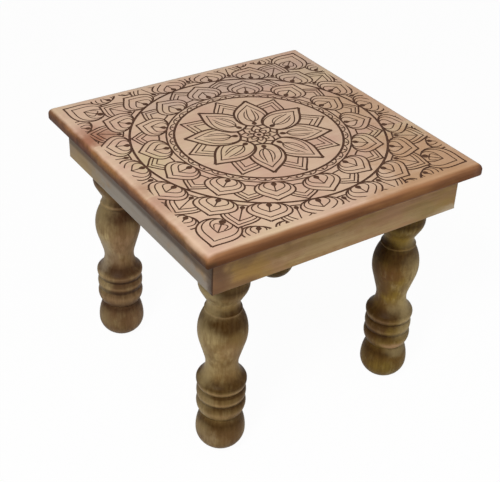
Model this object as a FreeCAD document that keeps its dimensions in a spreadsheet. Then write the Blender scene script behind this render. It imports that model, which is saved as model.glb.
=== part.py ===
import FreeCAD, Part
import math
import os

import Sketcher

# Low square table on four turned legs: a moulded, edge-glued top on a mitred apron frame.
# Millimetres. +Z is up, the floor is z = 0, -Y is the front, and the origin is on the floor below
# the middle.

sizes = {
    # tabletop, three boards glued edge to edge and then moulded all round
    "top_side": 305.0,
    "top_thickness": 13.5,
    "back_plank_width": 96.7,
    "middle_plank_width": 104.4,
    "top_corner_round": 2.0,
    "top_edge_round": 6.4,
    "under_edge_round": 3.0,
    # dowels across the seams of the top
    "plank_dowel_radius": 3.0,
    "plank_dowel_length": 36.0,
    "plank_dowel_spacing": 104.0,
    # apron frame below the top
    "top_overhang": 14.4,
    "apron_thickness": 9.5,
    "apron_height": 39.6,
    "apron_edge_round": 1.2,
    # dowels from each apron into the leg blocks
    "apron_dowel_radius": 3.0,
    "apron_dowel_length": 20.0,
    "apron_dowel_depth": 6.0,
    "apron_dowel_edge": 10.0,
    # square block at the head of each leg, behind the aprons
    "block_side": 50.0,
    "block_recess": 1.0,
    "pommel_rise": 6.0,
    # turned leg from the floor up: the height each curve climbs and the radius it ends at
    "foot_flat_radius": 10.0,
    "toe_height": 6.4,
    "toe_radius": 19.1,
    "foot_lower_height": 13.7,
    "foot_radius": 24.5,
    "foot_upper_height": 22.7,
    "ankle_radius": 19.1,
    "cup_lower_height": 12.7,
    "cup_radius": 24.2,
    "cup_upper_height": 5.7,
    "low_groove_radius": 22.3,
    "ring_lower_height": 7.8,
    "ring_radius": 24.1,
    "ring_upper_height": 6.5,
    "high_groove_radius": 22.1,
    "rim_lower_height": 7.4,
    "rim_radius": 24.5,
    "rim_upper_height": 3.0,
    "rim_top_radius": 23.5,
    "flare_height": 16.5,
    "waist_radius": 15.8,
    "waist_height": 8.8,
    "taper_foot_radius": 17.0,
    "taper_height": 17.8,
    "taper_head_radius": 22.0,
    "vase_lower_height": 12.8,
    "vase_radius": 23.9,
    "vase_upper_height": 23.8,
    "shoulder_radius": 17.2,
    "fillet_lower_height": 1.4,
    "fillet_radius": 17.8,
    "fillet_upper_height": 1.5,
    "collar_radius": 16.8,
    "collar_height": 5.4,
    "neck_radius": 15.4,
    "neck_height": 5.9,
    "throat_radius": 17.4,
    "throat_height": 7.6,
    "crown_foot_radius": 21.5,
    "crown_lower_height": 9.4,
    "crown_radius": 24.0,
    "crown_upper_height": 17.9,
    "crown_top_radius": 19.3,
    # cleats inside the frame, screwed to the aprons and up into the top
    "cleat_side": 18.0,
    "cleat_end_gap": 1.0,
    "cleat_edge_cut": 1.5,
    # countersunk wood screws, one kind throughout
    "screw_bite": 7.0,
    "screw_radius": 1.75,
    "screw_head_radius": 3.5,
    "screw_point_height": 4.0,
    "screw_end_distance": 24.0,
    "screw_stagger": 25.0,
    "screw_seam_distance": 8.0,
    # room round each dowel and screw, and past its end
    "bore_clearance": 0.05,
    "bore_end_gap": 0.5,
    "dowel_end_cut": 0.5,
    # how far a cutting outline runs past what it cuts
    "cut_overrun": 5.0,
}

doc = FreeCAD.newDocument("low_table")
sheet = doc.addObject("Spreadsheet::Sheet", "sizes")
for row, (alias, value) in enumerate(sizes.items(), start=1):
    sheet.set("A%d" % row, alias)
    sheet.set("B%d" % row, repr(value))
    sheet.setAlias("B%d" % row, alias)
doc.recompute()


class Length:
    """A length as a number, for drawing, and as the expression that keeps it tied to the sheet."""

    def __init__(self, value, terms):
        self.value = value
        self.terms = terms

    def __add__(self, other):
        return Length(self.value + other.value, "(%s + %s)" % (self.terms, other.terms))

    def __sub__(self, other):
        return Length(self.value - other.value, "(%s - %s)" % (self.terms, other.terms))

    def __mul__(self, factor):
        return Length(self.value * factor, "(%s * %s)" % (self.terms, factor))

    def __truediv__(self, divisor):
        return Length(self.value / divisor, "(%s / %s)" % (self.terms, divisor))

    def __neg__(self):
        return Length(-self.value, "(-%s)" % self.terms)


def size(alias):
    return Length(float(sheet.get(alias)), "sizes." + alias)


def lesser(a, b):
    return Length(min(a.value, b.value), "min(%s; %s)" % (a.terms, b.terms))


zero = Length(0.0, "0")

# Each curve of the turned leg, from the floor up. A toe is tangent to the curve above it, a swell
# ends where it is widest, a fall starts there, a hollow_in ends where it is narrowest, a hollow_out
# starts there.
turned_curves = [
    ("toe", "toe_height", "toe_radius"),
    ("swell", "foot_lower_height", "foot_radius"),
    ("fall", "foot_upper_height", "ankle_radius"),
    ("swell", "cup_lower_height", "cup_radius"),
    ("fall", "cup_upper_height", "low_groove_radius"),
    ("swell", "ring_lower_height", "ring_radius"),
    ("fall", "ring_upper_height", "high_groove_radius"),
    ("swell", "rim_lower_height", "rim_radius"),
    ("fall", "rim_upper_height", "rim_top_radius"),
    ("hollow_in", "flare_height", "waist_radius"),
    ("hollow_out", "waist_height", "taper_foot_radius"),
    ("straight", "taper_height", "taper_head_radius"),
    ("swell", "vase_lower_height", "vase_radius"),
    ("fall", "vase_upper_height", "shoulder_radius"),
    ("swell", "fillet_lower_height", "fillet_radius"),
    ("fall", "fillet_upper_height", "collar_radius"),
    ("hollow_in", "collar_height", "neck_radius"),
    ("hollow_out", "neck_height", "throat_radius"),
    ("straight", "throat_height", "crown_foot_radius"),
    ("swell", "crown_lower_height", "crown_radius"),
    ("fall", "crown_upper_height", "crown_top_radius"),
]
turned_height = sum((size(height) for _, height, _ in turned_curves[1:]), size(turned_curves[0][1]))

half_top = size("top_side") / 2
frame_side = size("top_side") - size("top_overhang") * 2
half_frame = frame_side / 2
apron_foot = turned_height - size("block_recess")
top_under = apron_foot + size("apron_height")
block_height = size("apron_height") - size("block_recess")
half_block = size("block_side") / 2
leg_place = half_frame - size("apron_thickness") - half_block
back_seam = half_top - size("back_plank_width")
front_seam = back_seam - size("middle_plank_width")
half_thickness = size("top_thickness") / 2
half_cleat = size("cleat_side") / 2
cleat_length = frame_side - (size("apron_thickness") + size("block_side") + size("cleat_end_gap")) * 2
cleat_foot = top_under - size("cleat_side")
screw_bore = size("screw_radius") + size("bore_clearance")
screw_head_depth = size("screw_head_radius") - size("screw_radius")
# from a cleat's middle to its screws out into the apron and, closer in, up into the top
out_spot = cleat_length / 2 - size("screw_end_distance")
front_up_spot = out_spot - size("screw_stagger")
# those of the left and right cleats keep clear of the seams too
seam_room = lesser(back_seam, -front_seam) - size("screw_seam_distance")
side_up_spot = lesser(front_up_spot, seam_room)
screw_length = size("cleat_side") + size("screw_bite")
screw_reach = size("screw_bite") + size("bore_end_gap")
plank_dowel_bore = size("plank_dowel_radius") + size("bore_clearance")
plank_bore_depth = size("plank_dowel_length") / 2 + size("bore_end_gap")
apron_dowel_bore = size("apron_dowel_radius") + size("bore_clearance")
apron_bore_depth = size("apron_dowel_depth") + size("bore_end_gap")
block_bore_depth = size("apron_dowel_length") - size("apron_dowel_depth") + size("bore_end_gap")
# heights of each apron's two dowels above its lower edge
dowel_heights = [size("apron_dowel_edge"), size("apron_height") - size("apron_dowel_edge")]

# where each side and corner lies, in X and Y, as shares of half the frame
# each is a quarter turn on from the one before
side_shares = {"front": (0, -1), "right": (1, 0), "back": (0, 1), "left": (-1, 0)}
corner_shares = {
    "front_left": (-1, -1),
    "front_right": (1, -1),
    "back_right": (1, 1),
    "back_left": (-1, 1),
}
quarter_turn = 90
four_sides = 4
# a test of place and of volume is as fine as this share of a length or volume
match_share = 1e-3


def near(a, b):
    return abs(a - b) < match_share * size("cut_overrun").value


def add_body(name):
    body = doc.addObject("PartDesign::Body", name)
    body.Label = name
    return body


def origin_plane(body, role):
    return [feature for feature in body.Origin.OriginFeatures if feature.Role == role][0]


def add_sketch(body, name, role, offset=None):
    """A sketch on one of the body's own planes, moved along the plane's normal by the offset."""
    sketch = body.newObject("Sketcher::SketchObject", name)
    sketch.AttachmentSupport = [(origin_plane(body, role), "")]
    sketch.MapMode = "FlatFace"
    if offset is not None:
        sketch.setExpression("AttachmentOffset.Base.z", offset.terms)
    return sketch


def bind(sketch, name, constraint, terms):
    index = sketch.addConstraint(constraint)
    sketch.renameConstraint(index, name)
    sketch.setExpression("Constraints." + name, terms)


def place_point(sketch, name, geometry, point, x=None, y=None):
    """Fixes a point of the sketch at X and Y from the origin, each on its axis where it is zero."""
    for axis, kind, place, line in (("x", "DistanceX", x, -2), ("y", "DistanceY", y, -1)):
        if place is None:
            continue
        if place is zero:
            sketch.addConstraint(Sketcher.Constraint("PointOnObject", geometry, point, line))
            continue
        dimension = Sketcher.Constraint(kind, -1, 1, geometry, point, place.value)
        bind(sketch, name + "_" + axis, dimension, place.terms)


def polygon(sketch, name, points):
    """Straight edges round a closed outline, with every corner placed."""
    first = len(sketch.Geometry)
    count = len(points)
    vectors = [FreeCAD.Vector(x.value, y.value, 0) for x, y in points]
    for i in range(count):
        sketch.addGeometry(Part.LineSegment(vectors[i], vectors[(i + 1) % count]), False)
    for i in range(count):
        sketch.addConstraint(Sketcher.Constraint("Coincident", first + i, 2, first + (i + 1) % count, 1))
    for i, (x, y) in enumerate(points):
        place_point(sketch, "%s_%d" % (name, i + 1), first + i, 1, x, y)


def rounded_box(sketch, name, low, high, rounds):
    """A box from low to high. rounds holds a radius or None for each corner, anticlockwise."""
    left, bottom = low
    right, top = high
    places = [(left, bottom), (right, bottom), (right, top), (left, top)]
    inward = [(1, 1), (-1, 1), (-1, -1), (1, -1)]
    along = [(1, 0), (0, 1), (-1, 0), (0, -1)]
    first = len(sketch.Geometry)
    starts = []
    ends = []
    for i, (x, y) in enumerate(places):
        radius = rounds[i].value if rounds[i] else 0.0
        corner = FreeCAD.Vector(x.value, y.value, 0)
        starts.append(corner + FreeCAD.Vector(*along[i], 0) * radius)
        ends.append(corner - FreeCAD.Vector(*along[i - 1], 0) * radius)
    for i in range(four_sides):
        sketch.addGeometry(Part.LineSegment(starts[i], ends[(i + 1) % four_sides]), False)
    for i in range(four_sides):
        kind = "Horizontal" if i % 2 == 0 else "Vertical"
        sketch.addConstraint(Sketcher.Constraint(kind, first + i))
    for i in range(four_sides):
        before = first + (i - 1) % four_sides
        if rounds[i] is None:
            sketch.addConstraint(Sketcher.Constraint("Coincident", before, 2, first + i, 1))
            continue
        radius = rounds[i].value
        x, y = places[i]
        centre = FreeCAD.Vector(x.value + inward[i][0] * radius, y.value + inward[i][1] * radius, 0)
        start_angle = math.pi + i * math.pi / 2
        circle = Part.Circle(centre, FreeCAD.Vector(0, 0, 1), radius)
        arc = sketch.addGeometry(Part.ArcOfCircle(circle, start_angle, start_angle + math.pi / 2), False)
        sketch.addConstraint(Sketcher.Constraint("Tangent", before, 2, arc, 1))
        sketch.addConstraint(Sketcher.Constraint("Tangent", arc, 2, first + i, 1))
        round_name = "%s_round_%d" % (name, i + 1)
        bind(sketch, round_name, Sketcher.Constraint("Radius", arc, radius), rounds[i].terms)
    place_point(sketch, name + "_low", first, 1, None, bottom)
    place_point(sketch, name + "_high", first + 2, 1, None, top)
    place_point(sketch, name + "_right", first + 1, 1, right, None)
    place_point(sketch, name + "_left", first + 3, 1, left, None)


def circles(sketch, name, places, radius):
    for i, (x, y) in enumerate(places):
        centre = FreeCAD.Vector(x.value, y.value, 0)
        index = sketch.addGeometry(Part.Circle(centre, FreeCAD.Vector(0, 0, 1), radius.value), False)
        round_name = "%s_%d_radius" % (name, i + 1)
        bind(sketch, round_name, Sketcher.Constraint("Radius", index, radius.value), radius.terms)
        place_point(sketch, "%s_%d" % (name, i + 1), index, 3, x, y)


def pad(body, name, sketch, length, symmetric=False, backward=False):
    feature = body.newObject("PartDesign::Pad", name)
    feature.Profile = sketch
    if symmetric:
        feature.SideType = "Symmetric"
    feature.Reversed = backward
    feature.setExpression("Length", length.terms)
    doc.recompute()
    return feature


def pocket(body, name, sketch, depth=None, symmetric=False, backward=False):
    """Cuts a sketch into the body, or right through where no depth is given."""
    before = body.Shape.Volume
    feature = body.newObject("PartDesign::Pocket", name)
    feature.Profile = sketch
    if symmetric:
        feature.SideType = "Symmetric"
    feature.Reversed = backward
    if depth is None:
        feature.Type = "ThroughAll"
    else:
        feature.setExpression("Length", depth.terms)
    doc.recompute()
    if not feature.Shape.Volume < before:
        raise ValueError("%s of %s cuts nothing" % (name, body.Label))
    return feature


def bore(body, name, role, plane_offset, places, radius, depth=None, backward=False):
    """Round holes from a plane of the body, checked against the volume that they must take away."""
    before = body.Shape.Volume
    sketch = add_sketch(body, name + "_outline", role, plane_offset)
    circles(sketch, name, places, radius)
    feature = pocket(body, name, sketch, depth, backward=backward)
    if depth is not None:
        taken = before - feature.Shape.Volume
        wanted = len(places) * math.pi * radius.value ** 2 * depth.value
        if abs(taken - wanted) > match_share * wanted:
            raise ValueError("%s of %s takes %.2f, not %.2f" % (name, body.Label, taken, wanted))
    return feature


def dress(body, kind, name, chosen, length_name, length):
    """A fillet or chamfer on the edges of the body that pass a test."""
    base = body.Tip
    names = ["Edge%d" % (i + 1) for i, edge in enumerate(base.Shape.Edges) if chosen(edge)]
    if not names:
        raise ValueError("%s of %s finds no edge" % (name, body.Label))
    feature = body.newObject("PartDesign::" + kind, name)
    feature.Base = (base, names)
    feature.setExpression(length_name, length.terms)
    doc.recompute()
    return feature


def level(edge, axis, place):
    """Whether every corner of an edge lies at one place along an axis, x, y or z."""
    return all(near(getattr(vertex.Point, axis), place.value) for vertex in edge.Vertexes)


def stand(body, quarter_turns, x, y, z):
    """Turns the body about +Z and moves it to a place tied to the sheet."""
    turn = FreeCAD.Rotation(FreeCAD.Vector(0, 0, 1), quarter_turn * quarter_turns)
    body.Placement = FreeCAD.Placement(FreeCAD.Vector(x.value, y.value, z.value), turn)
    for axis, place in (("x", x), ("y", y), ("z", z)):
        body.setExpression("Placement.Base." + axis, place.terms)


def plank(name, front, back):
    """One board of the top, from its front edge to its back, cut by the top's moulded outlines."""
    body = add_body(name)
    at_front = near(front.value, -half_top.value)
    at_back = near(back.value, half_top.value)
    upper = size("top_edge_round")
    lower = size("under_edge_round")
    thickness = size("top_thickness")
    past = half_top + size("cut_overrun")

    section = add_sketch(body, "section", "YZ_Plane")
    rounds = [
        lower if at_front else None,
        lower if at_back else None,
        upper if at_back else None,
        upper if at_front else None,
    ]
    rounded_box(section, "board", (front, zero), (back, thickness), rounds)
    pad(body, "board", section, size("top_side"), symmetric=True)

    ends = add_sketch(body, "end_moulding_outline", "XZ_Plane")
    rounded_box(ends, "kept", (-half_top, zero), (half_top, thickness), [lower, lower, upper, upper])
    low_past = -size("cut_overrun")
    high_past = thickness + size("cut_overrun")
    rounded_box(ends, "waste", (-past, low_past), (past, high_past), [None] * four_sides)
    pocket(body, "end_moulding", ends, size("top_side") * 2, symmetric=True)

    if at_front or at_back:
        plan = add_sketch(body, "corner_outline", "XY_Plane")
        corner_rounds = [size("top_corner_round")] * four_sides
        rounded_box(plan, "kept", (-half_top, -half_top), (half_top, half_top), corner_rounds)
        rounded_box(plan, "waste", (-past, -past), (past, past), [None] * four_sides)
        pocket(body, "corners", plan, thickness * 2, symmetric=True)

    spacing = size("plank_dowel_spacing")
    dowel_places = [(place, half_thickness) for place in (-spacing, zero, spacing)]
    # the section plane's normal points to the front
    holes = (dowel_places, plank_dowel_bore, plank_bore_depth)
    if not at_front:
        bore(body, "front_dowel_holes", "XZ_Plane", -front, *holes)
    if not at_back:
        bore(body, "back_dowel_holes", "XZ_Plane", -back, *holes, backward=True)

    # pilot holes for the screws that come up out of the cleats, where they meet this board
    near_side = half_frame - size("apron_thickness") - half_cleat
    spots = [(x, y) for y in (-near_side, near_side) for x in (-front_up_spot, front_up_spot)]
    spots += [(x, y) for x in (-near_side, near_side) for y in (-side_up_spot, side_up_spot)]
    inside = [(x, y) for x, y in spots if front.value < y.value < back.value]
    if inside:
        bore(body, "screw_holes", "XY_Plane", None, inside, screw_bore, screw_reach, True)
    stand(body, 0, zero, zero, top_under)
    return body


def apron(name, quarter_turns, x_share, y_share):
    """One board of the frame, mitred at both ends, drawn with its outer face on y = 0."""
    body = add_body(name)
    thickness = size("apron_thickness")
    plan = add_sketch(body, "plan", "XY_Plane")
    inner_half = half_frame - thickness
    outer = [(-half_frame, zero), (half_frame, zero)]
    inner = [(inner_half, thickness), (-inner_half, thickness)]
    polygon(plan, "board", outer + inner)
    pad(body, "board", plan, size("apron_height"))

    def lower_edge(edge):
        return level(edge, "z", zero) and (level(edge, "y", zero) or level(edge, "y", thickness))

    dress(body, "Fillet", "eased_edges", lower_edge, "Radius", size("apron_edge_round"))
    dowels = [(x, z) for x in (-leg_place, leg_place) for z in dowel_heights]
    bore(body, "dowel_holes", "XZ_Plane", -thickness, dowels, apron_dowel_bore, apron_bore_depth, True)
    screw_height = size("apron_height") - half_cleat
    screws = [(x, screw_height) for x in (-out_spot, out_spot)]
    bore(body, "screw_holes", "XZ_Plane", -thickness, screws, screw_bore, screw_reach, True)
    stand(body, quarter_turns, half_frame * x_share, half_frame * y_share, apron_foot)
    return body


def arc_between(kind, start, end, next_end):
    """The arc of one turned curve, and which of its points are the curve's start and end."""
    rise = end.y - start.y
    step = end.x - start.x
    radius = (rise ** 2 + step ** 2) / (2 * abs(step))
    centres = {
        "swell": (end.x - radius, end.y),
        "fall": (start.x - radius, start.y),
        "hollow_in": (end.x + radius, end.y),
        "hollow_out": (start.x + radius, start.y),
    }
    if kind == "toe":
        upper_rise = next_end.y - end.y
        upper_step = next_end.x - end.x
        upper_radius = (upper_rise ** 2 + upper_step ** 2) / (2 * upper_step)
        outward = (end - FreeCAD.Vector(next_end.x - upper_radius, next_end.y, 0)) / upper_radius
        chord = end - start
        radius = chord.dot(chord) / (2 * outward.dot(chord))
        centre = end - outward * radius
    else:
        centre = FreeCAD.Vector(*centres[kind], 0)
    circle = Part.Circle(centre, FreeCAD.Vector(0, 0, 1), radius)
    start_angle = math.atan2(start.y - centre.y, start.x - centre.x)
    end_angle = math.atan2(end.y - centre.y, end.x - centre.x)
    if kind in ("hollow_in", "hollow_out"):
        return Part.ArcOfCircle(circle, end_angle % (2 * math.pi), start_angle % (2 * math.pi)), 2, 1
    return Part.ArcOfCircle(circle, start_angle, end_angle), 1, 2


def turned_half_section(sketch):
    """The leg's outline below its block, from the axis out over the foot and up to the axis again."""
    points = [FreeCAD.Vector(size("foot_flat_radius").value, 0, 0)]
    for _, height, radius in turned_curves:
        points.append(FreeCAD.Vector(size(radius).value, points[-1].y + size(height).value, 0))
    centre_foot = FreeCAD.Vector(0, 0, 0)
    centre_head = FreeCAD.Vector(0, points[-1].y, 0)
    sole = sketch.addGeometry(Part.LineSegment(centre_foot, points[0]), False)
    sketch.addConstraint(Sketcher.Constraint("Coincident", sole, 1, -1, 1))
    place_point(sketch, "sole", sole, 2, size("foot_flat_radius"), zero)
    below = (sole, 2)
    tangent_to = None
    for i, (kind, height, radius) in enumerate(turned_curves):
        start = points[i]
        end = points[i + 1]
        if kind == "straight":
            edge, start_point, end_point = Part.LineSegment(start, end), 1, 2
        else:
            next_end = points[min(i + 2, len(points) - 1)]
            edge, start_point, end_point = arc_between(kind, start, end, next_end)
        index = sketch.addGeometry(edge, False)
        if kind in ("swell", "hollow_in"):
            sketch.addConstraint(Sketcher.Constraint("Horizontal", index, 3, index, end_point))
        if kind in ("fall", "hollow_out"):
            sketch.addConstraint(Sketcher.Constraint("Horizontal", index, 3, index, start_point))
        joint = "Tangent" if tangent_to else "Coincident"
        sketch.addConstraint(Sketcher.Constraint(joint, below[0], below[1], index, start_point))
        tangent_to = kind == "toe"
        climb = Sketcher.Constraint("DistanceY", index, start_point, index, end_point, end.y - start.y)
        bind(sketch, height, climb, "sizes." + height)
        place_point(sketch, "end_%d" % (i + 1), index, end_point, size(radius), None)
        below = (index, end_point)
    head = sketch.addGeometry(Part.LineSegment(points[-1], centre_head), False)
    axis = sketch.addGeometry(Part.LineSegment(centre_head, centre_foot), False)
    sketch.addConstraint(Sketcher.Constraint("Coincident", below[0], below[1], head, 1))
    sketch.addConstraint(Sketcher.Constraint("Horizontal", head))
    sketch.addConstraint(Sketcher.Constraint("Coincident", head, 2, axis, 1))
    sketch.addConstraint(Sketcher.Constraint("Coincident", axis, 2, -1, 1))
    sketch.addConstraint(Sketcher.Constraint("Vertical", axis))


def revolve(body, kind, name, sketch):
    feature = body.newObject("PartDesign::" + kind, name)
    feature.Profile = sketch
    feature.ReferenceAxis = (sketch, ["V_Axis"])
    doc.recompute()
    return feature


def leg(name, quarter_turns, x_share, y_share):
    """A turned leg and its block in one piece, drawn about its axis, outer faces to -X and -Y."""
    body = add_body(name)
    turning = add_sketch(body, "turned_outline", "XZ_Plane")
    turned_half_section(turning)
    revolve(body, "Revolution", "turning", turning)

    square = add_sketch(body, "block_outline", "XY_Plane", turned_height)
    low = (-half_block, -half_block)
    high = (half_block, half_block)
    rounded_box(square, "block", low, high, [None] * four_sides)
    pad(body, "block", square, block_height)

    # the lathe tool takes the block's lower corners down to a cone
    whole = body.Shape.Volume
    pommel = add_sketch(body, "pommel_outline", "XZ_Plane")
    reach = half_block * math.sqrt(2)
    past = reach + size("cut_overrun")
    slope = "(%s / (%s - %s))" % (size("pommel_rise").terms, reach.terms, half_block.terms)
    run = past - half_block
    rise = size("pommel_rise").value * run.value / (reach.value - half_block.value)
    cone_top = turned_height + Length(rise, "(%s * %s)" % (slope, run.terms))
    polygon(pommel, "cone", [(half_block, turned_height), (past, turned_height), (past, cone_top)])
    revolve(body, "Groove", "pommel", pommel)
    if not body.Shape.Volume < whole:
        raise ValueError("the pommel of %s cuts nothing" % name)

    bored = [(zero, apron_foot + height) for height in dowel_heights]
    holes = (bored, apron_dowel_bore, block_bore_depth)
    bore(body, "front_dowel_holes", "XZ_Plane", half_block, *holes)
    bore(body, "side_dowel_holes", "YZ_Plane", -half_block, *holes, backward=True)
    stand(body, quarter_turns, leg_place * x_share, leg_place * y_share, zero)
    return body


def cleat(name, up_spot, quarter_turns, x_share, y_share):
    """A square batten inside an apron, drawn with that apron's inner face on y = 0."""
    body = add_body(name)
    side = size("cleat_side")
    section = add_sketch(body, "section", "YZ_Plane")
    rounded_box(section, "batten", (zero, zero), (side, side), [None] * four_sides)
    pad(body, "batten", section, cleat_length, symmetric=True)

    def inner_lower_edge(edge):
        return level(edge, "z", zero) and level(edge, "y", side)

    dress(body, "Chamfer", "eased_edge", inner_lower_edge, "Size", size("cleat_edge_cut"))
    across = [(x, half_cleat) for x in (-out_spot, out_spot)]
    bore(body, "side_screw_holes", "XZ_Plane", -side, across, screw_bore, side, True)
    upward = [(x, half_cleat) for x in (-up_spot, up_spot)]
    bore(body, "up_screw_holes", "XY_Plane", None, upward, screw_bore, side, True)

    def round_mouth(edge):
        lies_inside = level(edge, "y", side) or level(edge, "z", zero)
        return hasattr(edge.Curve, "Radius") and lies_inside

    dress(body, "Chamfer", "countersinks", round_mouth, "Size", screw_head_depth)
    away = half_frame - size("apron_thickness")
    stand(body, quarter_turns, away * x_share, away * y_share, cleat_foot)
    return body


def ring_of(body, feature, mirror_role, copies):
    """Repeats a feature across a plane, and then round the table's middle."""
    repeat = body.newObject("PartDesign::MultiTransform", "repeat")
    mirror = body.newObject("PartDesign::Mirrored", "mirror")
    mirror.MirrorPlane = (origin_plane(body, mirror_role), [""])
    turn = body.newObject("PartDesign::PolarPattern", "turn")
    turn.Axis = (origin_plane(body, "Z_Axis"), [""])
    turn.Angle = four_sides * quarter_turn
    turn.Occurrences = copies
    repeat.Originals = [feature]
    repeat.Transformations = [mirror, turn]
    body.Tip = repeat
    doc.recompute()
    return repeat


def screw_ring(body, name, role, plane_offset, points, mirror_role, copies):
    """A screw turned from its half section, whose last edge is its axis, and its copies."""
    outline = add_sketch(body, name + "_outline", role, plane_offset)
    polygon(outline, "screw", points)
    turning = body.newObject("PartDesign::Revolution", name)
    turning.Profile = outline
    turning.ReferenceAxis = (outline, ["Edge%d" % len(points)])
    doc.recompute()
    ring_of(body, turning, mirror_role, copies)


def screw_half_section():
    """Distance along a screw from the top of its head, and radius there."""
    shank = size("screw_radius")
    return [
        (zero, zero),
        (zero, size("screw_head_radius")),
        (screw_head_depth, shank),
        (screw_length - size("screw_point_height"), shank),
        (screw_length, zero),
    ]


def side_screws(name):
    """The screws out through the cleats into the aprons, drawn level through the front ones."""
    body = add_body(name)
    inner_face = half_frame - size("apron_thickness") - size("cleat_side")
    half_section = screw_half_section()
    points = [(out_spot + radius, -(inner_face + along)) for along, radius in half_section]
    screw_ring(body, "screw", "XY_Plane", cleat_foot + half_cleat, points, "YZ_Plane", four_sides)
    return body


def up_screws(name):
    """The screws up through the cleats into the top, drawn upright through the front and right ones."""
    body = add_body(name)
    away = half_frame - size("apron_thickness") - half_cleat
    half_section = screw_half_section()
    front = [(front_up_spot + radius, cleat_foot + along) for along, radius in half_section]
    screw_ring(body, "front_screw", "XZ_Plane", away, front, "YZ_Plane", four_sides // 2)
    right = [(side_up_spot + radius, cleat_foot + along) for along, radius in half_section]
    screw_ring(body, "right_screw", "YZ_Plane", away, right, "XZ_Plane", four_sides // 2)
    return body


def plank_dowels():
    """Three dowels across each seam of the top."""
    body = add_body("plank_dowels")
    spacing = size("plank_dowel_spacing")
    for name, seam in (("front", front_seam), ("back", back_seam)):
        outline = add_sketch(body, name + "_outline", "XZ_Plane", -seam)
        places = [(place, half_thickness) for place in (-spacing, zero, spacing)]
        circles(outline, "dowel", places, size("plank_dowel_radius"))
        pad(body, name + "_dowels", outline, size("plank_dowel_length"), symmetric=True)
    ease_dowel_ends(body)
    stand(body, 0, zero, zero, top_under)
    return body


def apron_dowels():
    """Two dowels at each end of each apron, half hidden in the apron and half in the leg block."""
    body = add_body("apron_dowels")
    start = half_frame - size("apron_thickness") + size("apron_dowel_depth")
    outline = add_sketch(body, "outline", "XZ_Plane", start)
    places = [(leg_place, height) for height in dowel_heights]
    circles(outline, "dowel", places, size("apron_dowel_radius"))
    dowels = pad(body, "dowels", outline, size("apron_dowel_length"), backward=True)
    ring_of(body, dowels, "YZ_Plane", four_sides)
    ease_dowel_ends(body)
    stand(body, 0, zero, zero, apron_foot)
    return body


def ease_dowel_ends(body):
    def round_edge(edge):
        return hasattr(edge.Curve, "Radius")

    dress(body, "Chamfer", "eased_ends", round_edge, "Size", size("dowel_end_cut"))


sub_parts = [
    plank("front_plank", -half_top, front_seam),
    plank("middle_plank", front_seam, back_seam),
    plank("back_plank", back_seam, half_top),
    plank_dowels(),
]
for turns, (side, shares) in enumerate(side_shares.items()):
    sub_parts.append(apron(side + "_apron", turns, *shares))
sub_parts.append(apron_dowels())
for turns, (corner, shares) in enumerate(corner_shares.items()):
    sub_parts.append(leg(corner + "_leg", turns, *shares))
for turns, (side, shares) in enumerate(side_shares.items()):
    up_spot = side_up_spot if turns % 2 else front_up_spot
    sub_parts.append(cleat(side + "_cleat", up_spot, turns, *shares))
sub_parts.append(side_screws("cleat_to_apron_screws"))
sub_parts.append(up_screws("cleat_to_top_screws"))

doc.recompute()
faults = [item.Label for item in doc.Objects if "Invalid" in item.State or "Error" in item.State]
faults += [item.Label for item in sub_parts if item.Shape.isNull() or not item.Shape.isValid()]
if faults:
    raise ValueError("these did not build: " + ", ".join(faults))

os.makedirs("parts", exist_ok=True)
for item in sub_parts:
    item.Shape.exportStep("parts/%s.step" % item.Label)
    print(item.Label, len(item.Shape.Solids), "solids, volume %.1f" % item.Shape.Volume)
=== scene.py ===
from math import ceil, cos, dist, exp, hypot, pi, radians, sin, sqrt

import bmesh
import bpy
import numpy as np
from mathutils import Matrix, Vector, geometry


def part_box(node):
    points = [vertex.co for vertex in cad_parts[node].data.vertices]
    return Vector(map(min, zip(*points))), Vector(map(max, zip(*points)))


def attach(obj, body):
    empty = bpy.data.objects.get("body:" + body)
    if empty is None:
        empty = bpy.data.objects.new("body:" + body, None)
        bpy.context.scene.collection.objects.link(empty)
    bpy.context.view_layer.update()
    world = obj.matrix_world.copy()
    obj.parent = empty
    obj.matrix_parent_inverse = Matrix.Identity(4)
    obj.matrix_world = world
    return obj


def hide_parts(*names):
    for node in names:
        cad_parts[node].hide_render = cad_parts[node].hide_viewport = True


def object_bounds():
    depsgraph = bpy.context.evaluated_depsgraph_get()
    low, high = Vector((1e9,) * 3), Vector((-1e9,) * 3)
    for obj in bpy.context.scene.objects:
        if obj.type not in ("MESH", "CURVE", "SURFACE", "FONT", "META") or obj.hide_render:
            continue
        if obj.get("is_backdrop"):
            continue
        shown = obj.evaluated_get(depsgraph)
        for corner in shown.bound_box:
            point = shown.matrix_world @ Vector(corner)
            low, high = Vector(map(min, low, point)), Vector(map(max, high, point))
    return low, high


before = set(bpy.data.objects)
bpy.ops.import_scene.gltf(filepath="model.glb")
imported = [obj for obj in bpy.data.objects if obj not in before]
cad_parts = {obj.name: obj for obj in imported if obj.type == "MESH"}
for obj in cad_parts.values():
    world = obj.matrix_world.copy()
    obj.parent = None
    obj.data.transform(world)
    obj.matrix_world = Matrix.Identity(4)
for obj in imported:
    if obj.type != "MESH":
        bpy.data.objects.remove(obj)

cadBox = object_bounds()
mm = 0.001
sides = {"front": 0, "right": 1, "back": 2, "left": 3}  # quarter turns about +Z from the front
corners = ("front_left", "front_right", "back_right", "back_left")
smoothAngle = radians(32)  # an edge sharper than this stays sharp


def cadSize(node):
    # lowest and highest corner of a CAD node, in millimetres
    low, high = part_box(node)
    return low / mm, high / mm


# camera: found from the corners of the top, the frame and the feet in the picture

view = {
    "place": (-0.5167, -0.7334, 0.7477),
    "heading": 34.898,  # degrees from +Y towards +X
    "dip": 34.014,
    "roll": -2.504,
    "focalPixels": 1046.07,
    "pictureWidth": 500,
    "sensor": 36.0,
}


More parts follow.
